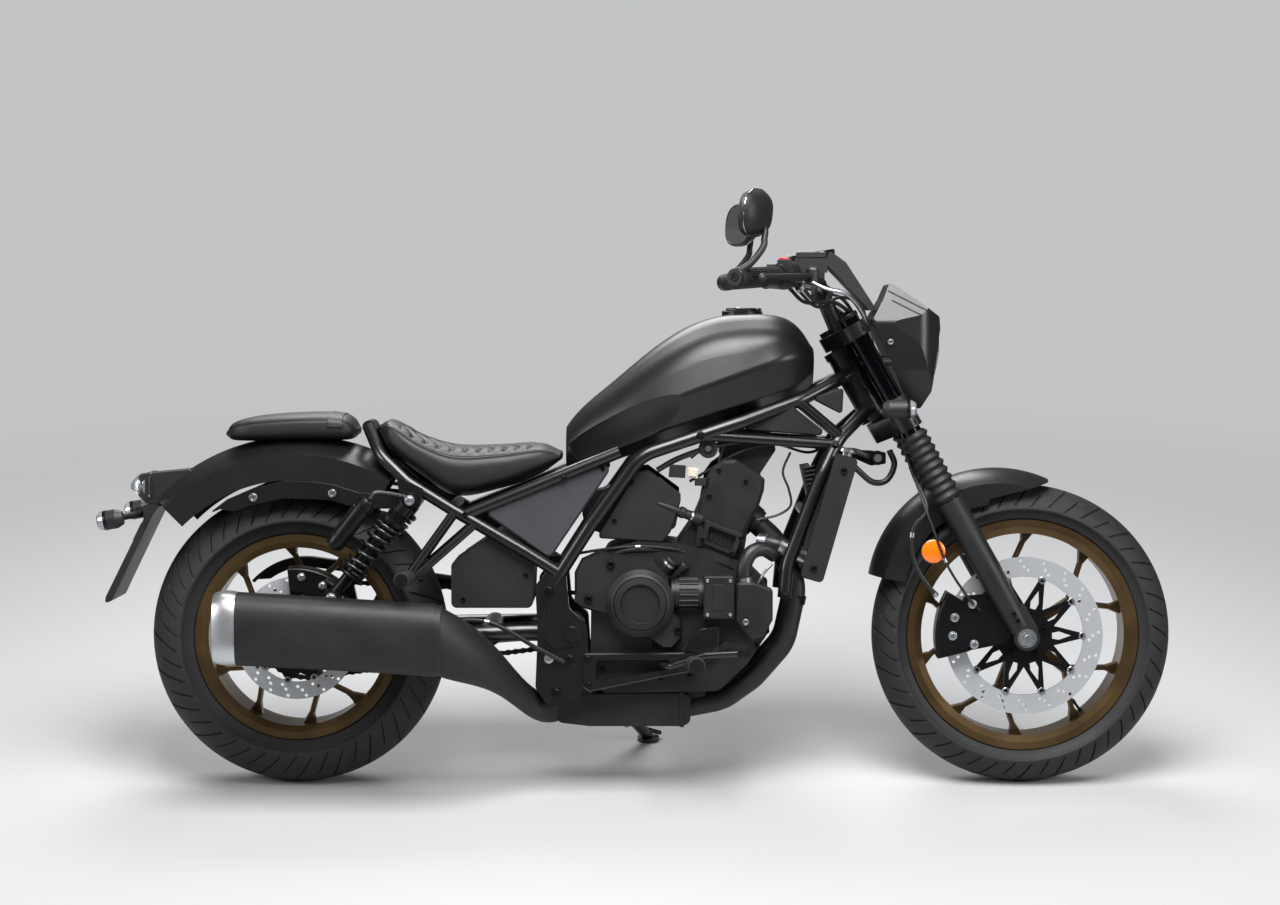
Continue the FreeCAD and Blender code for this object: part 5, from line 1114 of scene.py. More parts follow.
@dataclass
class Lamps:
    """The glass of the machine: lamps, signals, reflectors, mirrors and the dial."""

    face: Vector = field(default_factory=lambda: Vector((1330, 0, 880)))
    ahead: Vector = field(default_factory=lambda: Vector((0.98, 0, -0.2)).normalized())

    def headlamp(self) -> None:
        """A silvered bowl split by a black bar, behind a domed clear lens."""
        shape = Shape()
        bowl = [(-9, 64.2), (-7.6, 64.2), (-7.3, 60), (-5.6, 58), (-1.4, 49.5), (-1.2, 30), (-1.2, 0)]
        shape.lathe(self.face, self.ahead, bowl, 64)
        facets = 14
        for k in range(facets):
            side = self.ahead.orthogonal().normalized()
            side.rotate(Quaternion(self.ahead, math.tau * (k + 0.5) / facets))
            place = self.face + side * 35 - self.ahead * 1.4
            shape.lathe(place, self.ahead, [(0, 7), (1.6, 6), (1.9, 0)], 16)
        shape.pick = 1
        up = LEFT.cross(self.ahead) * -1
        shape.box(self.face + self.ahead * 0.6, (0, 58, 0), up * 3.2, self.ahead * 1.8)
        bezel = [(-7.2, 65.9), (1.5, 65.9), (2.5, 65.2), (2.5, 62.5), (-7, 62.5)]
        shape.lathe(self.face, self.ahead, bezel, 64)
        shape.make("HeadlampBowl", "steering", "lamp_lens", Look.BOWL, Look.PLASTIC)
        lens = Shape()
        lens.lathe(self.face, self.ahead, [(1.0, 62.3), (3.4, 61.6), (7.5, 45), (9.6, 24), (10, 0)], 64)
        lens.make("HeadlampLens", "steering", "lamp_lens", Look.LENS, crease=60)

    def signals(self) -> None:
        """Clear lenses over silvered dishes in the round front and rear signals."""
        for name, body, start, axis, rim in (
            ("FrontSignalLenses", "steering", (1268.2, -190, 793), (1, 0, 0), 18.9),
            ("RearSignalLenses", "chassis", (-384.4, -172, 562.9), (-24, 0, -4), 20.4),
        ):
            shape = Shape()
            shape.lathe(start, axis, [(-6, rim), (0, rim), (1.2, rim - 1)], 48)
            shape.pick = 1
            shape.lathe(start, axis, [(0, rim - 1.2), (5, rim - 2), (10.5, rim - 4.6), (11, 0)], 48)
            shape.pick = 2
            dome = [(1, rim - 0.6), (6, rim - 1.1), (11, rim - 3.8), (14.6, rim - 8), (15.6, 0)]
            shape.lathe(start, axis, dome, 48)
            shape.mirror()
            shape.make(name, body, "lamp_lens", Look.ANODISED, Look.BOWL, Look.LENS, crease=50)

    def tail(self) -> None:
        """The tail lamp's clear lens, the bright rib round its housing and the reflector below."""
        shape = Shape()

        def section(x: float, half: float, low: float, high: float) -> list[Vector]:
            """A rounded box across the machine."""
            spots = [boxy(math.tau * k / 40, 0.5) for k in range(40)]
            return [Vector((x, c * half, (low + high) / 2 + s * (high - low) / 2)) for c, s in spots]

        for pick, less in ((0, 2.0), (1, 0.0)):
            shape.pick = pick
            shape.rings([
                section(-320 - less, 54 - less, 600 + less, 652 - less),
                section(-336 + less, 50 - less, 602 + less, 652 - less),
                section(-346 + less, 45 - less, 610 + less, 642 - less),
                section(-352 + less, 38 - less, 616 + less, 634 - less),
            ])
        shape.pick = 2
        rib = ((-312, 59.6), (-311.6, 60.8), (-308.4, 61), (-308, 60))
        shape.rings([section(x, half, 592, 657) for x, half in rib])
        shape.make("TailLamp", "chassis", "lamp_lens", Look.GUIDE, Look.LENS, Look.BOWL)
        red = Shape()
        corners = [(-325.4, -24, 545), (-325.4, 24, 545), (-343.7, 24, 508), (-343.7, -24, 508)]
        red.raised(corners, (-0.897, 0, 0.443), 9, 1.5, 4)
        red.make("PlateReflector", "chassis", "lamp_lens", Look.RED_LENS)

    def reflector(self) -> None:
        """A round amber reflector in a black cup on the fork's lower end."""
        shape = Shape()
        cup = [(0, 20), (16, 24), (20, 26.4), (24, 26.4), (24, 24.4)]
        shape.lathe((1324.6, -106, 496.3), RIGHT, cup, 48)
        shape.pick = 1
        shape.lathe((1324.6, -124, 496.3), RIGHT, [(0, 24.2), (6, 24.2), (7.4, 22), (8, 0)], 48)
        shape.mirror()
        shape.make("ForkReflectors", "steering", "lamp_lens", Look.PLASTIC, Look.AMBER)

    def mirrors(self) -> None:
        """Bar-end mirrors turned a little to the rider, with a silvered line round each back that paints the
        highlight along the seam of rim and back.
        """
        shape = Shape()
        bar, middle = GRIP_END, Vector((950, -402, 1186))
        outboard = (bar - GRIP_START).normalized()
        shape.lathe(bar + outboard * 2.3, outboard, [(0, 18), (1.5, 19), (16, 19), (17.7, 18)], 40)
        arm = [bar + outboard * 12 + Vector((4, 0, 12)), bar + Vector((20, -8, 28)),
               bar + Vector((43, -2, 58)), bar + Vector((46, 2, 76)), middle + Vector((14, 0, -34)),
               middle + Vector((8, 0, -18))]
        shape.tube(arm, lambda share: 7.4 - 1.4 * share, 16)
        turn = math.radians(22)
        facing = Vector((-math.cos(turn), math.sin(turn), 0.1)).normalized()
        across = UP.cross(facing).normalized()
        up = facing.cross(across)

        def oval(wide: float, tall: float, out: float) -> list[Vector]:
            """A full oval, square to the way the glass faces."""
            spots = [boxy(math.tau * k / 56, 2 / 2.6) for k in range(56)]
            return [middle + across * (c * wide) + up * (s * tall) + facing * out for c, s in spots]

        shell = ((20, 14, -19), (38, 25, -17), (55, 36, -11), (66, 43, -3), (70.5, 47, 5),
                 (72, 48.5, 10), (71, 47.5, 15), (68, 45, 17), (66, 43.4, 17), (65.4, 43, 15.4))
        shape.rings([oval(*level) for level in shell])
        shape.pick = 1
        shape.rings([oval(65.6, 43.1, 13), oval(65.6, 43.1, 15.8), oval(30, 20, 16.2)])
        # A silvered tube on the seam of rim and back: painted highlight of that edge
        shape.pick = 2
        edge = oval(70.9, 47.4, 4.6)
        shape.tube([*edge, edge[0]], 0.8, 6, smooth=False)
        shape.mirror()
        piece = shape.make("BarEndMirrors", "steering", "black_plastic", Look.PLASTIC, Look.MIRROR, Look.BOWL)
        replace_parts(piece, "mirrors")

    def dial(self) -> None:
        """The round display's smoked glass in its turned bezel."""
        eye, up = (1080, 0, 1114), Vector((-0.17, 0, 0.985)).normalized()
        shape = Shape()
        shape.lathe(eye, up, [(-6, 46.6), (2.2, 46.6), (3, 45.8), (3, 42.6), (1.2, 42)], 72)
        shape.pick = 1
        shape.lathe(eye, up, [(-1, 42.2), (1.3, 42), (1.9, 30), (2.0, 0)], 72)
        shape.make("DisplayGlass", "steering", "black_plastic", Look.ANODISED, Look.DIAL)

    def make(self) -> None:
        """Build all of them."""
        self.headlamp()
        self.signals()
        self.tail()
        self.reflector()
        self.mirrors()
        self.dial()


@dataclass(frozen=True)
class Line:
    """One hose, pipe, cable or rod."""

    name: str
    radius: float
    route: tuple[Point, ...]
    clips: tuple[float, ...] = ()
    body: str = "chassis"
    slot: str = "black_rubber"
    look: Finish = Look.HOSE

    def make(self) -> bpy.types.Object:
        """Sweep it along its route, with clamps or ferrules where they sit."""
        shape = Shape()
        shape.tube(self.route, self.radius, 16 if self.radius > 6 else 10, 10)
        shape.pick = 1
        line = smooth_line(self.route, 10)
        for share in self.clips:
            i = min(int(share * (len(line) - 2)), len(line) - 2)
            along = (line[i + 1] - line[i]).normalized()
            wide, inner, outer = max(5.0, self.radius * 0.6), self.radius * 0.9, self.radius + 1.1
            band = [(-wide, inner), (-wide, outer), (wide, outer), (wide, inner)]
            shape.lathe(line[i], along, band, 20)
        return shape.make(self.name, self.body, self.slot, self.look, Look.ZINC)


def lay_lines() -> None:
    """Every hose, pipe, cable and rod of the machine."""
    lines = (
        Line("FrontBrakeHose", 4.6, ((1220, -62, 842), (1262, -74, 742), (1284, -86, 660),
             (1312, -112, 586), (1284, -122, 545), (1281, -124, 492), (1296, -122, 451),
             (1322, -116, 416), (1334, -108, 402)), (0.02, 0.55, 0.97), body="steering"),
        Line("SpeedSensorLead", 2.8, ((1236, -58, 800), (1290, -96, 640), (1318, -124, 560),
             (1352, -134, 470), (1396, -122, 402), (1424, -104, 372)), (0.6,), body="steering"),
        Line("BarCableRight", 4.2, ((1042, -246, 1046), (1074, -205, 1014), (1120, -150, 1010),
             (1160, -96, 980), (1190, -60, 930), (1208, -46, 870)), (0.03,), body="steering"),
        Line("BarCableRightTwo", 3.4, ((1034, -232, 1040), (1080, -170, 1002), (1130, -120, 1022),
             (1176, -84, 1004), (1196, -52, 940), (1212, -36, 880)), (0.04,), body="steering"),
        Line("MasterHose", 4.4, ((1058, -186, 1058), (1098, -168, 1040), (1142, -140, 1028),
             (1180, -92, 985), (1204, -62, 915), (1216, -60, 850)), (0.04, 0.96), body="steering",
             slot="stainless", look=Look.ZINC),
        Line("BarCableLeft", 4.2, ((1042, 246, 1046), (1074, 205, 1014), (1120, 150, 1010),
             (1160, 96, 980), (1190, 60, 930), (1208, 46, 870)), (0.03,), body="steering"),
        Line("ClutchCable", 4.0, ((1052, 196, 1050), (1104, 150, 1036), (1150, 104, 1020),
             (1184, 70, 960), (1204, 50, 890)), (0.05,), body="steering"),
        Line("RadiatorLoop", 6.5, ((1144, -70, 690), (1172, -62, 662), (1204, -52, 636), (1234, -46, 640),
             (1250, -42, 672), (1240, -36, 702)), (0.1,)),
        Line("RadiatorInlet", 16.0, ((966, -84, 514), (1000, -96, 508), (1034, -92, 494),
             (1066, -84, 480)), (0.1, 0.5, 0.92)),
        Line("ElbowHose", 15.5, ((934, -132, 426), (932, -133, 462), (946, -126, 492), (972, -114, 500),
             (997, -98, 486)), (0.06,)),
        Line("CoolantPipe", 5.4, ((797, -112, 502), (850, -116, 482), (911, -118, 459)),
             slot="black_alloy", look=Look.ANODISED),
        Line("LinkRod", 5.0, ((606, -134, 216), (690, -136, 231), (785, -138, 247)), slot="stainless",
             look=Look.OXIDE),
        Line("BrakeRod", 7.5, ((604, -140, 276), (700, -141, 276), (806, -142, 276)), slot="black_alloy",
             look=Look.ANODISED),
        Line("SparkLead", 3.6, ((884, -60, 700), (880, -96, 716), (846, -112, 708), (822, -118, 690))),
        Line("WiringLoom", 6.0, ((1196, -50, 690), (1164, -62, 702), (1120, -72, 704), (1040, -92, 722),
             (960, -104, 726), (880, -112, 716), (800, -116, 690), (752, -118, 664)), (0.3, 0.62)),
        Line("SensorLead", 2.6, ((1030, -84, 700), (1014, -92, 660), (1026, -96, 624), (1030, -98, 590),
             (1004, -96, 570), (960, -100, 560))),
        Line("LowerLead", 3.0, ((560, -118, 486), (640, -124, 500), (720, -126, 506), (790, -124, 500),
             (826, -112, 486)), (0.5,)),
        Line("BreatherHose", 7.0, ((640, -110, 478), (690, -120, 498), (752, -118, 500), (800, -96, 490)),
             (0.06, 0.94)),
        Line("RearBrakeHose", 4.4, ((560, -150, 268), (500, -154, 300), (400, -152, 352),
             (280, -150, 352), (150, -146, 372), (92, -138, 420), (66, -122, 436)), (0.35, 0.7)),
        Line("ThrottleCable", 3.0, ((1150, -34, 760), (1080, -52, 700), (1000, -84, 716),
             (930, -100, 704), (860, -104, 664), (820, -100, 640))),
        Line("LowerFrontLead", 3.0, ((962, -126, 430), (974, -130, 452), (990, -128, 470)),
             slot="stainless", look=Look.ZINC),
    )
    for line in lines:
        line.make()


@dataclass(frozen=True)
class BoltRow:
    """Bolts that share a seat, a body and a finish."""

    name: str
    node: str
    radius: float
    places: tuple[tuple[float, float], ...]
    socket: bool = True
    sides: tuple[int, ...] = (-1,)
    body: str = "chassis"
    look: Finish = Look.OXIDE

    def make(self) -> None:
        """Set each bolt on the surface below it."""
        skin, shape = Skin(self.node), Shape()
        for side in self.sides:
            for x, z in self.places:
                seat = skin.seat(x, z, side)
                if seat is None:
                    LOG.warning("%s has no seat at %s, %s", self.name, x, z)
                    continue
                place, normal = seat
                axis = normal if abs(normal.y) > 0.7 else Vector((0, side, 0))
                shape.bolt(place, axis, self.radius, None, self.socket)
        shape.make(self.name, self.body, "dark_steel", self.look, bevel=0.25)


def set_bolts() -> None:
    """Set every bolt, nut and cap of the machine's chassis and steering."""
    rows = (
        BoltRow("ClutchBolts", "clutch_cover", 8.5, ((656, 470), (610, 399), (796, 334))),
        BoltRow("LowerClutchBolt", "crankcase", 8.5, ((750, 303),)),
        BoltRow("FrontCoverBolts", "crankcase", 7, ((935, 352),), look=Look.ZINC),
        BoltRow("MotorBoxBolts", "crankcase", 3.6, MOTOR_LUGS, look=Look.ZINC),
        BoltRow("CrankcaseBolts", "crankcase", 5.5, ((640, 250), (700, 236), (760, 232), (820, 240),
                (980, 330), (960, 300))),
        BoltRow("PivotBolts", "frame_right", 8, ((528, 275),), socket=False, look=Look.ZINC),
        BoltRow("PivotBoltsTwo", "frame_right", 8, ((571, 275), (543, 205), (529, 417)), socket=False),
        BoltRow("FrameBolts", "frame_right", 7, ((1122, 717), (842, 737), (1016, 404)), socket=False),
        BoltRow("RadiatorBolts", "radiator", 7, ((1138, 664), (1076, 462)), sides=SIDES),
        BoltRow("HeadBolts", "cylinder_head", 5, ((848, 554), (926, 524), (908, 492), (846, 520),
                (880, 664), (936, 640), (860, 610))),
        BoltRow("SideCoverScrews", "side_covers", 5, ((404, 582), (640, 668)), sides=SIDES),
        BoltRow("RailBolts", "rear_subframe", 6, ((356, 574), (560, 650)), sides=SIDES),
        BoltRow("BatteryBoxScrews", "battery_box", 5, ((350, 396), (480, 446))),
        BoltRow("AirboxScrews", "airbox_panels", 5, ((700, 640), (664, 560))),
        BoltRow("CaliperPins", "front_caliper", 7.5, ((1408, 385), (1412, 301), (1372, 356), (1368, 318)),
                socket=False, body="steering", look=Look.ZINC),
        BoltRow("RearCaliperPins", "rear_caliper", 7, ((14, 442), (58, 424), (68, 404)), socket=False,
                look=Look.ZINC),
        BoltRow("CowlBolts", "headlamp", 6.5, ((1236, 930),), sides=SIDES, body="steering",
                look=Look.ZINC),
        BoltRow("SliderBolts", "fork_sliders", 5, ((1500, 352), (1492, 366)), sides=SIDES,
                body="steering"),
        BoltRow("AlternatorBolts", "alternator_cover", 6, ((873, 377), (814, 427), (740, 400), (727, 323),
                (786, 273), (860, 300)), sides=(1,)),
        BoltRow("SprocketCoverBolts", "sprocket_cover", 6, ((640, 385), (640, 330)), sides=(1,)),
        BoltRow("PegBolts", "rider_pegs", 6, ((608, 276), (610, 222)), socket=False),
    )
    for row in rows:
        row.make()
    caps = Shape()
    ring = [(0, 23), (6, 23), (9, 21), (9, 12), (5, 11), (5, 0)]
    for side in SIDES:
        caps.lathe(MACHINE.on_fork(760, side * 105), MACHINE.fork_up, ring, 36)
        caps.lathe(MACHINE.on_fork(764, side * 105), MACHINE.fork_up, [(0, 9), (10, 9), (11, 8)], 6)
        for up in (507, 529, 728):
            caps.bolt(MACHINE.on_fork(up, side * 128, 12), (0, side, 0), 5.2)
    caps.make("ForkCaps", "steering", "black_alloy", Look.ANODISED)
    stays = Shape()
    for x, z in ((-85, 607.5), (79, 616)):
        stays.bolt((x, -117.6, z), RIGHT, 9)
    stays.mirror()
    stays.make("StayBolts", "chassis", "dark_steel", Look.ZINC, bevel=0.25)
    for name, axle, body, out in (("FrontAxleNut", MACHINE.front_axle, "steering", 134),
                                  ("RearAxleNut", MACHINE.rear_axle, "chassis", 152)):
        nut = Shape()
        for inboard, ring, flats in ((8, [(0, 20), (3, 20)], 32), (11, [(0, 15), (11, 15), (13, 13)], 6),
                                     (11, [(0, 9), (18, 9), (19, 8)], 20)):
            nut.lathe(axle + Vector((0, inboard - out, 0)), RIGHT, ring, flats)
        nut.mirror()
        nut.make(name, body, "stainless", Look.ZINC)


@dataclass
class EngineTrim:
    """Ribs, plugs, clamps and small castings round the engine and the radiator."""

    filler: Point = (757, -120, 447)
    filler_way: Point = (0.62, -0.3, 0.72)
    spark_cap: Point = (838, -112, 563)
    spark_way: Point = (-0.92, -0.14, 0.36)

    def drum(self) -> None:
        """The clutch drum's raised ring, and the filler and the sensor beside it."""
        shape = Shape()
        ring = [(-1, 48.6), (1.4, 48.4), (2.4, 47.4), (2.4, 45.4), (1.2, 44.6), (1.2, 41), (0.4, 40),
                (0.4, 0)]
        shape.lathe((717, -176, 391), RIGHT, ring, 72)
        cap = [(0, 12.5), (30, 12.5), (31, 15), (44, 15), (46, 13)]
        shape.lathe(self.filler, self.filler_way, cap, 24)
        sensor = [(0, 9), (34, 9), (35, 11), (45, 11), (47, 9.5)]
        shape.lathe((781, -116, 438), (0.66, -0.3, 0.68), sensor, 24)
        shape.pick = 1
        shape.lathe(self.filler, self.filler_way, [(31.5, 15.4), (34, 15.6), (36.5, 15.4)], 24)
        shape.make("ClutchTrim", "chassis", "dark_cast_alloy", Look.CAST, Look.ZINC)

    def motor(self) -> None:
        """Cooling flutes round the gear change motor and the screws' lugs on its gearbox."""
        shape = Shape()
        length = Vector((39, 0, 0))
        for start in circle(Vector((798, -122, 408)), RIGHT, UP, 31.6, 16):
            shape.tube([start, start + length], 2.3, 8, 1)
        for x, z in MOTOR_LUGS:
            shape.lathe((x, -158, z), RIGHT, [(0, 7), (5.4, 7)], 20)
        shape.slab([(866, 430), (894, 430), (894, 376), (866, 376)], -163, -165.6, 0.9, 4)
        shape.make("MotorTrim", "chassis", "dark_cast_alloy", Look.CAST)

    def head(self) -> None:
        """The plug lead's cap, the ribs below it, the cam plug, an electrical plug and control units."""
        shape = Shape()
        cone = [(-6, 13), (10, 13), (12, 10.5), (30, 10), (33, 12), (42, 12), (45, 8.5), (66, 7.4),
                (92, 3.4), (93, 1)]
        shape.lathe(self.spark_cap, self.spark_way, cone, 24)
        for k in range(6):
            x, z = 856 + 9.4 * k, 543 - 3.9 * k
            shape.box((x, -113, z - 8), (1.6, 0, -0.7), (0, 1.6, 0), (-1.2, 0, -15))
        shape.lathe((858, -112, 709), RIGHT, [(0, 20), (8, 20), (10, 18), (10, 12), (7, 11), (7, 0)], 36)
        shape.pick = 1
        shape.lathe((858, -119, 709), RIGHT, [(0, 7), (5, 7), (6, 6)], 6)
        shape.lathe(self.spark_cap, self.spark_way, [(13, 11.2), (15, 11.8), (17, 11.2)], 24)
        shape.make("HeadTrim", "chassis", "black_plastic", Look.PLASTIC, Look.ZINC)
        plug = Shape()
        plug.box((826, -119, 659), (11, 0, -1), (0, 7, 0), (1, 0, 11))
        plug.box((826, -127, 659), (7.5, 0, -0.6), (0, 2, 0), (0.6, 0, 7.5))
        plug.make("CreamPlug", "chassis", "black_plastic", Look.NYLON, bevel=0.9)
        box = Shape()
        box.box((794, -118, 662), (17, 0, -1), (0, 9, 0), (1, 0, 13))
        box.box((842, -116, 640), (12, 0, 0), (0, 8, 0), (0, 0, 8))
        box.box((1068, -66, 636), (9, 0, 1.9), (0, 34, 0), (-8.5, 0, 38))
        for k in range(-4, 5):
            box.box((1074 - 1.7 * k, -103, 636 + 8.6 * k), (11, 0, 2), (0, 5, 0), (-0.3, 0, 1.5))
        box.make("ControlUnits", "chassis", "black_plastic", Look.PLASTIC, bevel=0.7)

    def lock(self) -> None:
        """The ignition lock on its bracket."""
        shape = Shape()
        plate = [(1150, 704), (1200, 702), (1232, 698), (1232, 674), (1200, 670), (1160, 688)]
        shape.slab(plate, -38, -46, 1, 4)
        barrel = [(0, 15), (20, 15), (22, 13.5), (22, 9), (20, 8.6), (20, 0)]
        shape.lathe((1214, -44, 687), RIGHT, barrel, 32)
        shape.pick = 1
        shape.lathe((1214, -63.5, 687), RIGHT, [(0, 8.4), (2, 8.2), (2, 1.6), (1, 1.5), (1, 0)], 28)
        shape.make("IgnitionLock", "chassis", "black_alloy", Look.ANODISED, Look.ZINC)

    def radiator(self) -> None:
        """Cooling fins, the core's tubes and the filler neck."""
        fins = Shape()
        top, foot = Vector((1160, 0, 682)), Vector((1094, 0, 444))
        ahead, rise, middle = Vector((0.964, 0, -0.267)), top - foot, (top + foot) / 2
        tubes, rows = 15, 40
        for k in range(tubes):
            place = foot + rise * ((k + 0.5) / tubes) + ahead * 1.2
            fins.box(place, (0, 119, 0), ahead * 1.6, rise.normalized() * 1.3)
        for k in range(rows):
            place = middle + Vector((0, 6 * k - 117, 0)) + ahead * 0.5
            fins.box(place, (0, 0.4, 0), ahead * 1.2, rise / 2)
        fins.make("RadiatorFins", "chassis", "black_alloy", Look.ANODISED)
        cap = Shape()
        cap.lathe((1146, -84, 694), (0.2, 0, 0.98), [(-4, 14), (6, 14), (7, 21), (13, 21), (15, 18)], 32)
        cap.make("RadiatorCap", "chassis", "stainless", Look.ZINC)

    def exhaust(self) -> None:
        """Port flanges with their nuts, and clamps round the headers."""
        shape = Shape()
        clamp = [(-9, 21.6), (-9, 23.4), (9, 23.4), (9, 21.6)]
        for side in SIDES:
            shape.lathe((944, side * 50, 562), (0.76, side * 0.03, -0.68), [(0, 31), (7, 31), (9, 28)], 32)
            for up in (-1, 1):
                place = Vector((952, side * 50, 556)) + Vector((0.68, 0, 0.76)) * up * 24
                shape.lathe(place, (0.76, 0, -0.68), [(0, 7), (8, 7), (9, 6)], 6)
            shape.lathe((1041, side * 59, 392), (0.2, 0, 1), clamp, 32)
        shape.make("HeaderClamps", "chassis", "dark_steel", Look.OXIDE)

    def make(self) -> None:
        """Build all of it."""
        self.drum()
        self.motor()
        self.head()
        self.lock()
        self.radiator()
        self.exhaust()


@dataclass
class Cockpit:
    """What the rider's hands reach: grip ribs, switches, levers' details and the cowl's trim."""

    rib_at: float = 17.0

    def grips(self) -> None:
        """Raised ribs along the two grips, rings round their ends and the caps of the bar ends."""
        outboard = (GRIP_END - GRIP_START).normalized()
        shape = Shape()
        length = (GRIP_END - GRIP_START).length
        first, last = GRIP_START + outboard * 30, GRIP_START + outboard * (length - 14)
        for out in circle(Vector(), *square_to(outboard), self.rib_at, 20):
            shape.tube([first + out, last + out], 1.1, 6, 1)
        ring = [(-1.2, 16.8), (-0.6, 18.4), (0.6, 18.4), (1.2, 16.8)]
        for along in (24, 27, length - 8):
            shape.lathe(GRIP_START + outboard * along, outboard, ring, 32)
        shape.pick = 1
        cap = [(0, 18.6), (2, 18.6), (4, 17), (4, 9), (1, 8), (1, 0)]
        shape.lathe(GRIP_END + outboard * 19, outboard, cap, 36)
        shape.pick = 2
        screw = [(0, 7.6), (3, 7.4), (3, 4), (1, 4), (1, 0)]
        shape.lathe(GRIP_END + outboard * 19.5, outboard, screw, 24)
        shape.mirror()
        shape.make("GripRibs", "steering", "black_rubber", Look.RUBBER, Look.ANODISED, Look.OXIDE)

    def controls(self) -> None:
        """Switches, the red stop switch, the reservoir's lid and its screws, and the lever's pivot."""
        inboard = (BAR_BEND - GRIP_START).normalized()
        top = GRIP_START + inboard * 66 + Vector((2, 0, 18))
        shape = Shape()
        lid = [top + Vector((x, y, 30)) for x, y in ((-1, -26), (57, -26), (57, 24), (-1, 24))]
        shape.raised(lid, UP, 3.4, 1.6)
        shape.pick = 1
        for x, y in ((6, -19), (50, -19), (6, 17), (50, 17)):
            shape.bolt(top + Vector((x, y, 33)), UP, 3.6, 2)
        shape.bolt(GRIP_START + inboard * 40 + Vector((44, 0, 14)), UP, 7, 5, socket=False)
        hose_end = GRIP_START + inboard * 56 + Vector((16, -2, -8))
        shape.bolt(hose_end, (0.2, -0.4, -0.9), 6, 5, socket=False)
        shape.pick = 0
        switch = GRIP_START + inboard * 14
        pad = [switch + Vector((x, y, 27)) for x, y in ((-16, -12), (12, -12), (12, 14), (-16, 14))]
        shape.raised(pad, (-0.1, 0, 1), 5, 1.5, 6)
        rocker = [switch + Vector((-21, y, z)) for y, z in ((-10, -2), (-10, 16), (12, 16), (12, -2))]
        shape.raised(rocker, (-1, 0, 0.1), 4, 1, 5)
        shape.lathe(switch + Vector((-18, 4, -10)), (-1, 0, -0.2), [(-4, 8), (5, 8), (7, 6.5)], 24)
        shape.mirror()
        shape.make("HandSwitches", "steering", "black_plastic", Look.PLASTIC, Look.ZINC)
        stop = Shape()
        key = [switch + Vector((x, y, 31)) for x, y in ((-12, -8), (8, -8), (8, 10), (-12, 10))]
        stop.raised(key, (-0.25, -0.1, 1), 6, 2, 2)
        stop.make("StopSwitch", "steering", "dark_grey_plastic", Look.SWITCH, bevel=0.8)

    def cowl(self) -> None:
        """Two dark lines along the cowl's upper edge, and the yokes' bolts with the stem's nut."""
        shape = Shape()
        skin = Skin("headlamp")
        for (x, z), (far, low) in (((1233, 1035.5), (1317, 992)), ((1240, 1016), (1300, 985))):
            seats = [skin.seat(x + (far - x) * k / 11, z + (low - z) * k / 11) for k in range(12)]
            line = [seat[0] + seat[1] * 0.4 for seat in seats if seat]
            shape.tube(line, 1.5, 8, smooth=False)
        shape.make("CowlStrip", "steering", "black_plastic", Look.ANODISED)
        yoke = Shape()
        for side in SIDES:
            for up in (722, 740):
                yoke.bolt(MACHINE.on_fork(up, side * 84, 26), MACHINE.fork_forward, 5.5, 5)
        yoke.lathe(MACHINE.on_fork(744, 0, -43.6), MACHINE.fork_up, [(0, 20), (5, 20), (7, 18)], 6)
        yoke.make("YokeBolts", "steering", "dark_steel", Look.ZINC)

    def make(self) -> None:
        """Build all of it."""
        self.grips()
        self.controls()
        self.cowl()


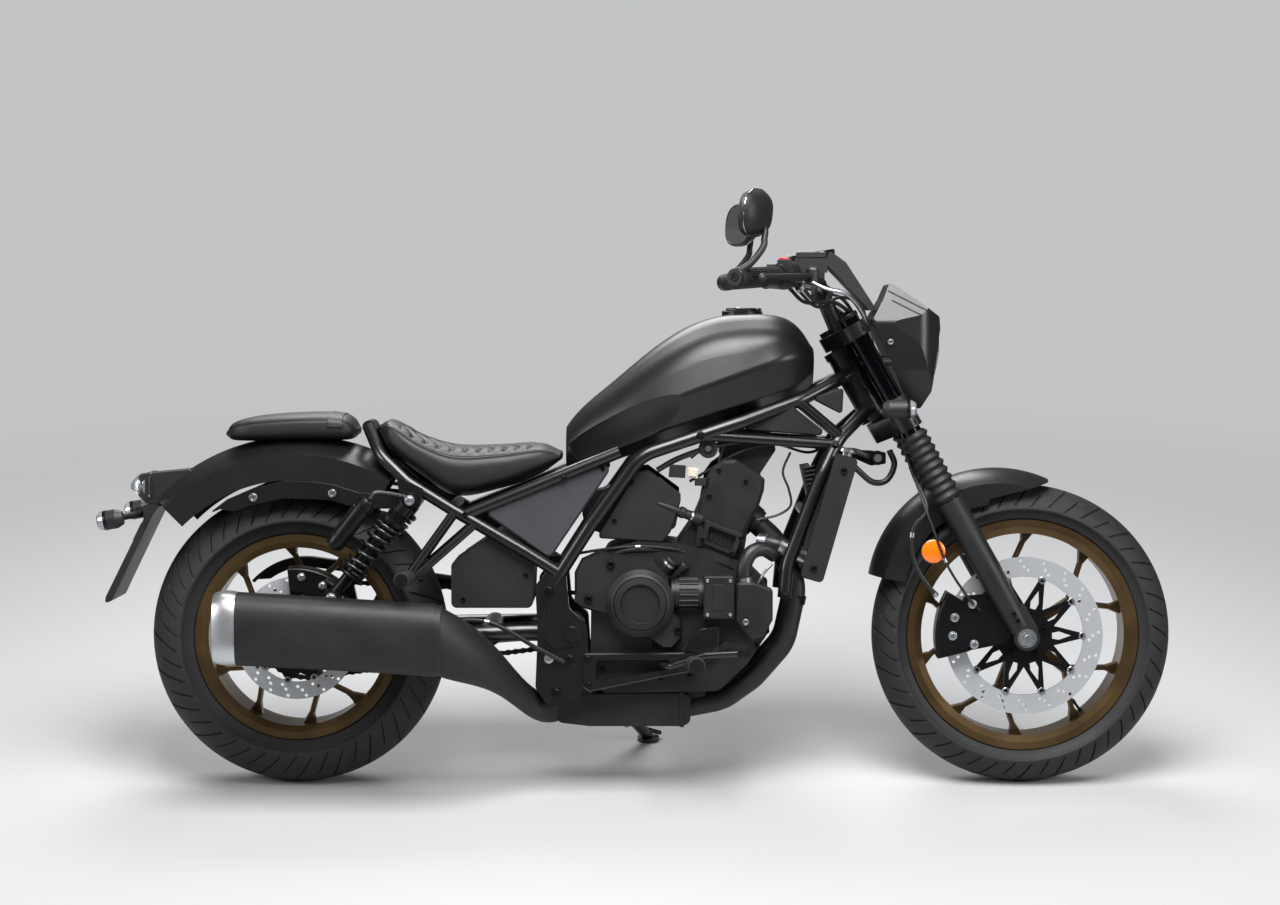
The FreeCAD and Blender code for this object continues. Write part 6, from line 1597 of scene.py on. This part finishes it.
@dataclass
class RearTrim:
    """The chain guard, the stand's spring, the pads of the pegs, the seat's strap and the filler."""

    def chain_guard(self) -> None:
        """A guard above the chain that curls down behind the rear sprocket."""
        shape = Shape()
        axle = MACHINE.rear_axle

        def arc(radius: float, start: float, stop: float) -> list[tuple[float, float]]:
            """Places round the rear axle between two angles in degrees."""
            turns = [math.radians(start + (stop - start) * k / 11) for k in range(12)]
            return [(radius * math.cos(t), axle.z + radius * math.sin(t)) for t in turns]

        top = [*arc(156, 138, 84), (300, 428), (520, 398), (520, 390), (300, 420), *arc(149, 84, 138)]
        shape.slab(top, 94, 119, 1.2)
        face = [*arc(156, 138, 84), (300, 428), (520, 398), (520, 378), (300, 402), *arc(132, 80, 126)]
        shape.slab(face, 116, 119, 0.8)
        shape.make("ChainGuard", "chassis", "black_plastic", Look.PLASTIC)

    def stand_spring(self) -> None:
        """The coil spring that holds the side stand."""
        start, end, coils, steps = Vector((654, 150, 141)), Vector((691, 203, 90)), 14, 14
        ring = circle(start, *square_to((end - start).normalized()), 6, steps)
        line = [ring[k % steps] + (end - start) * (k / (coils * steps)) for k in range(coils * steps + 1)]
        shape = Shape()
        shape.tube(line, 1.5, 6, smooth=False)
        shape.make("StandSpring", "side_stand", "stainless", Look.ZINC)

    def pegs(self) -> None:
        """Ribbed rubber pads on the four pegs, the gear lever and the brake pedal."""
        shape = Shape()
        for start, way, first, count, wide in (
            (Vector((822, -148, 264)), Vector((10, -170, 15)), 52, 11, 17.6),
            (Vector((240, -140, 445)), Vector((-8, -122, 2)), 42, 8, 16.6),
        ):
            along = way.normalized()
            for k in range(count):
                rib = [(-3.2, wide - 3), (-2.4, wide), (2.4, wide), (3.2, wide - 3)]
                shape.lathe(start + along * (first + k * 10.4), along, rib, 24)
        shape.mirror()
        shape.make("PegRubbers", "chassis", "black_rubber", Look.RUBBER)
        toe = Shape()
        rib = [(-1.4, 10), (-0.8, 11.6), (0.8, 11.6), (1.4, 10)]
        for k in range(8):
            toe.lathe((930, 184 + 4.4 * k, 294), LEFT, rib, 24)
        for k in range(5):
            toe.box((919 + 5.4 * k, -202, 300.6), (1.2, 0, 0), (0, 17, 0), (0, 0, 1.2))
        toe.make("PedalPads", "chassis", "black_rubber", Look.RUBBER)

    def strap(self) -> None:
        """A strap over the pillion seat, pulled a little into the foam."""
        shape = Shape()
        rings, dish = [], 2.6
        for x, out in ((66, 0.6), (67, 2.4), (97, 2.4), (98, 0.6)):
            low, high, half = spread(PILLION, x)
            ring = []
            for k in range(33):
                wide, tall = boxy(math.pi * k / 32, 2 / 3)
                across, rise = wide * (half + out), tall * ((high - low) / 2 - dish + out)
                ring.append((x, across, (low + high) / 2 + rise - dish * (1 - (across / half) ** 2)))
            rings.append(ring)
        shape.rings(rings, closed=False, caps=False)
        shape.make("PillionStrap", "chassis", "black_vinyl", Look.VINYL)

    def tank(self) -> None:
        """The filler's ring, the lid's stepped face and its lock."""
        ring, lid = Shape(), Shape()
        ring.lathe((930, 0, 992), UP, [(-3, 41), (1.2, 41), (2.2, 40), (2.2, 35.4), (0.6, 35)], 64)
        ring.make("FillerRing", "chassis", "black_alloy", Look.ANODISED)
        face = [(0, 31.6), (1.6, 31), (2.2, 28), (2.2, 14), (1.4, 13), (1.4, 0)]
        lid.lathe((930, 0, 998.4), UP, face, 64)
        lid.pick = 1
        lid.lathe((924, 0, 999.6), UP, [(0, 7), (1.6, 7), (2, 6), (2, 2), (0.8, 2), (0.8, 0)], 28)
        lid.make("FillerLid", "fuel_cap", "black_alloy", Look.ANODISED, Look.ZINC)

    def make(self) -> None:
        """Build all of it."""
        self.chain_guard()
        self.stand_spring()
        self.pegs()
        self.strap()
        self.tank()


NODE_LOOKS: dict[Finish, tuple[str, ...]] = {
    Look.FRAME: ("frame_head", "frame_right", "frame_left", "rear_subframe", "swingarm", "pillion_pegs",
                 "fender_stays", "side_stand", "fork_yokes", "handlebar", "rider_pegs", "foot_controls"),
    Look.TANK: ("fuel_tank", "rear_fender", "front_fender", "headlamp"),
    Look.CAST: ("crankcase", "cylinder_head", "clutch_cover", "alternator_cover", "sprocket_cover",
                "fork_sliders", "throttle_bodies"),
    Look.ANODISED: ("front_caliper", "rear_caliper", "fuel_cap"),
    Look.BRONZE: ("front_rim", "rear_rim"),
    Look.ZINC: ("front_axle", "rear_axle"),
    Look.STAINLESS: ("muffler_tip",),
    Look.CHAIN: ("rear_sprocket",),
    Look.CHROME: ("fork_stanchions",),
    Look.HEAT: ("exhaust_pipes", "muffler"),
    Look.RUBBER: ("fork_boots", "grips"),
    Look.PLASTIC: ("radiator", "airbox_panels", "battery_box", "plate_carrier", "hand_controls", "display",
                   "front_signals", "rear_signals", "mirrors", "tail_lamp"),
    Look.COVER: ("side_covers",),
}


def paint_nodes() -> None:
    """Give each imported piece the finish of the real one."""
    for look, names in NODE_LOOKS.items():
        for name in names:
            repaint(name, look.material())
            LOG.info("%s is finished in %s", name, look.name)


def disc_material(wheel: Wheel) -> bpy.types.Material:
    """Ground steel on the drilled ring and black anodised alloy on the carrier inside it.

    Args:
        wheel: The wheel that carries the disc.

    Returns:
        The new material.
    """
    material, tree, shader = blank_material(f"{wheel.end.title()}DiscSteelAndCarrier")
    place = add_node(tree, "ShaderNodeTexCoord").outputs["Object"]
    middle = {"operation": "SUBTRACT", 1: MACHINE.to_packed @ wheel.axle}
    offset = add_node(tree, "ShaderNodeVectorMath", middle, {0: place}).outputs["Vector"]
    reach = add_node(tree, "ShaderNodeVectorMath", {"operation": "LENGTH"}, {0: offset})
    along = add_node(tree, "ShaderNodeVectorMath", {"operation": "DOT_PRODUCT", 1: MACHINE.left}, {0: offset})
    squares = [
        add_node(tree, "ShaderNodeMath", {"operation": "POWER", 1: 2.0}, {0: node.outputs["Value"]})
        for node in (reach, along)
    ]
    sides = {i: square.outputs["Value"] for i, square in enumerate(squares)}
    rest = add_node(tree, "ShaderNodeMath", {"operation": "SUBTRACT"}, sides)
    root = add_node(tree, "ShaderNodeMath", {"operation": "SQRT"}, {0: rest.outputs["Value"]})
    radius = root.outputs["Value"]
    edge_mm = 0.6
    ends = {"From Min": (wheel.bore - edge_mm) / 1000, "From Max": (wheel.bore + edge_mm) / 1000}
    ring = add_node(tree, "ShaderNodeMapRange", ends, {"Value": radius}).outputs["Result"]
    steel, alloy = Look.STAINLESS, Look.ANODISED
    for name, low, high in (("Metallic", alloy.metallic, 0.6), ("Roughness", alloy.roughness, 0.3)):
        level = add_node(tree, "ShaderNodeMapRange", {"To Min": low, "To Max": high}, {"Value": ring})
        tree.links.new(level.outputs["Result"], shader.inputs[name])
    # Inputs 6 and 7 and output 2 are the node's colours
    colours = {"data_type": "RGBA", 6: linear(alloy.colour), 7: linear(steel.colour)}
    colour = add_node(tree, "ShaderNodeMix", colours, {"Factor": ring})
    tree.links.new(colour.outputs[2], shader.inputs["Base Color"])
    # Turning marks about 0.7 mm apart, coarser than real ones so that they show
    in_mm = add_node(tree, "ShaderNodeMath", {"operation": "MULTIPLY", 1: 1000.0}, {0: radius})
    marks = add_node(tree, "ShaderNodeTexNoise", {"noise_dimensions": "1D", "Scale": 1.4},
                     {"W": in_mm.outputs["Value"]})
    bump = add_node(tree, "ShaderNodeBump", {"Strength": 1.0, "Distance": 0.00002},
                    {"Height": marks.outputs["Fac"]})
    tree.links.new(bump.outputs["Normal"], shader.inputs["Normal"])
    return material


def main() -> None:
    """Build the studio and dress the machine from the wheels up."""
    logging.basicConfig(level=logging.INFO)
    studio = Studio()
    studio.place_camera()
    studio.lay_floor()
    studio.hang_lights()
    paint_nodes()
    front, rear = MACHINE.front_axle, MACHINE.rear_axle
    Tyre("front", front, radius=314.0, width=130.0, flange=242.0, half_rim=43.0).make()
    Tyre("rear", rear, radius=311.0, width=180.0, flange=215.0, half_rim=60.0).make()
    for wheel in (Wheel("front", front, disc_at=66.0, bore=124.0, turn=18.0, barrel=213.0),
                  Wheel("rear", rear, disc_at=84.0, bore=92.0, turn=12.0, barrel=187.0)):
        wheel.make()
        repaint(f"{wheel.end}_disc", disc_material(wheel))
    Saddle("RiderSeat", "rider_seat", RIDER, seam=0.42, channels=(215, 500)).make()
    Saddle("PillionSeat", "pillion_seat", PILLION, seam=0.3).make()
    DriveChain().make()
    Shocks().make()
    Lamps().make()
    lay_lines()
    set_bolts()
    EngineTrim().make()
    Cockpit().make()
    RearTrim().make()
    bpy.context.scene.view_settings.view_transform = "Standard"


if __name__ == "__main__":
    main()
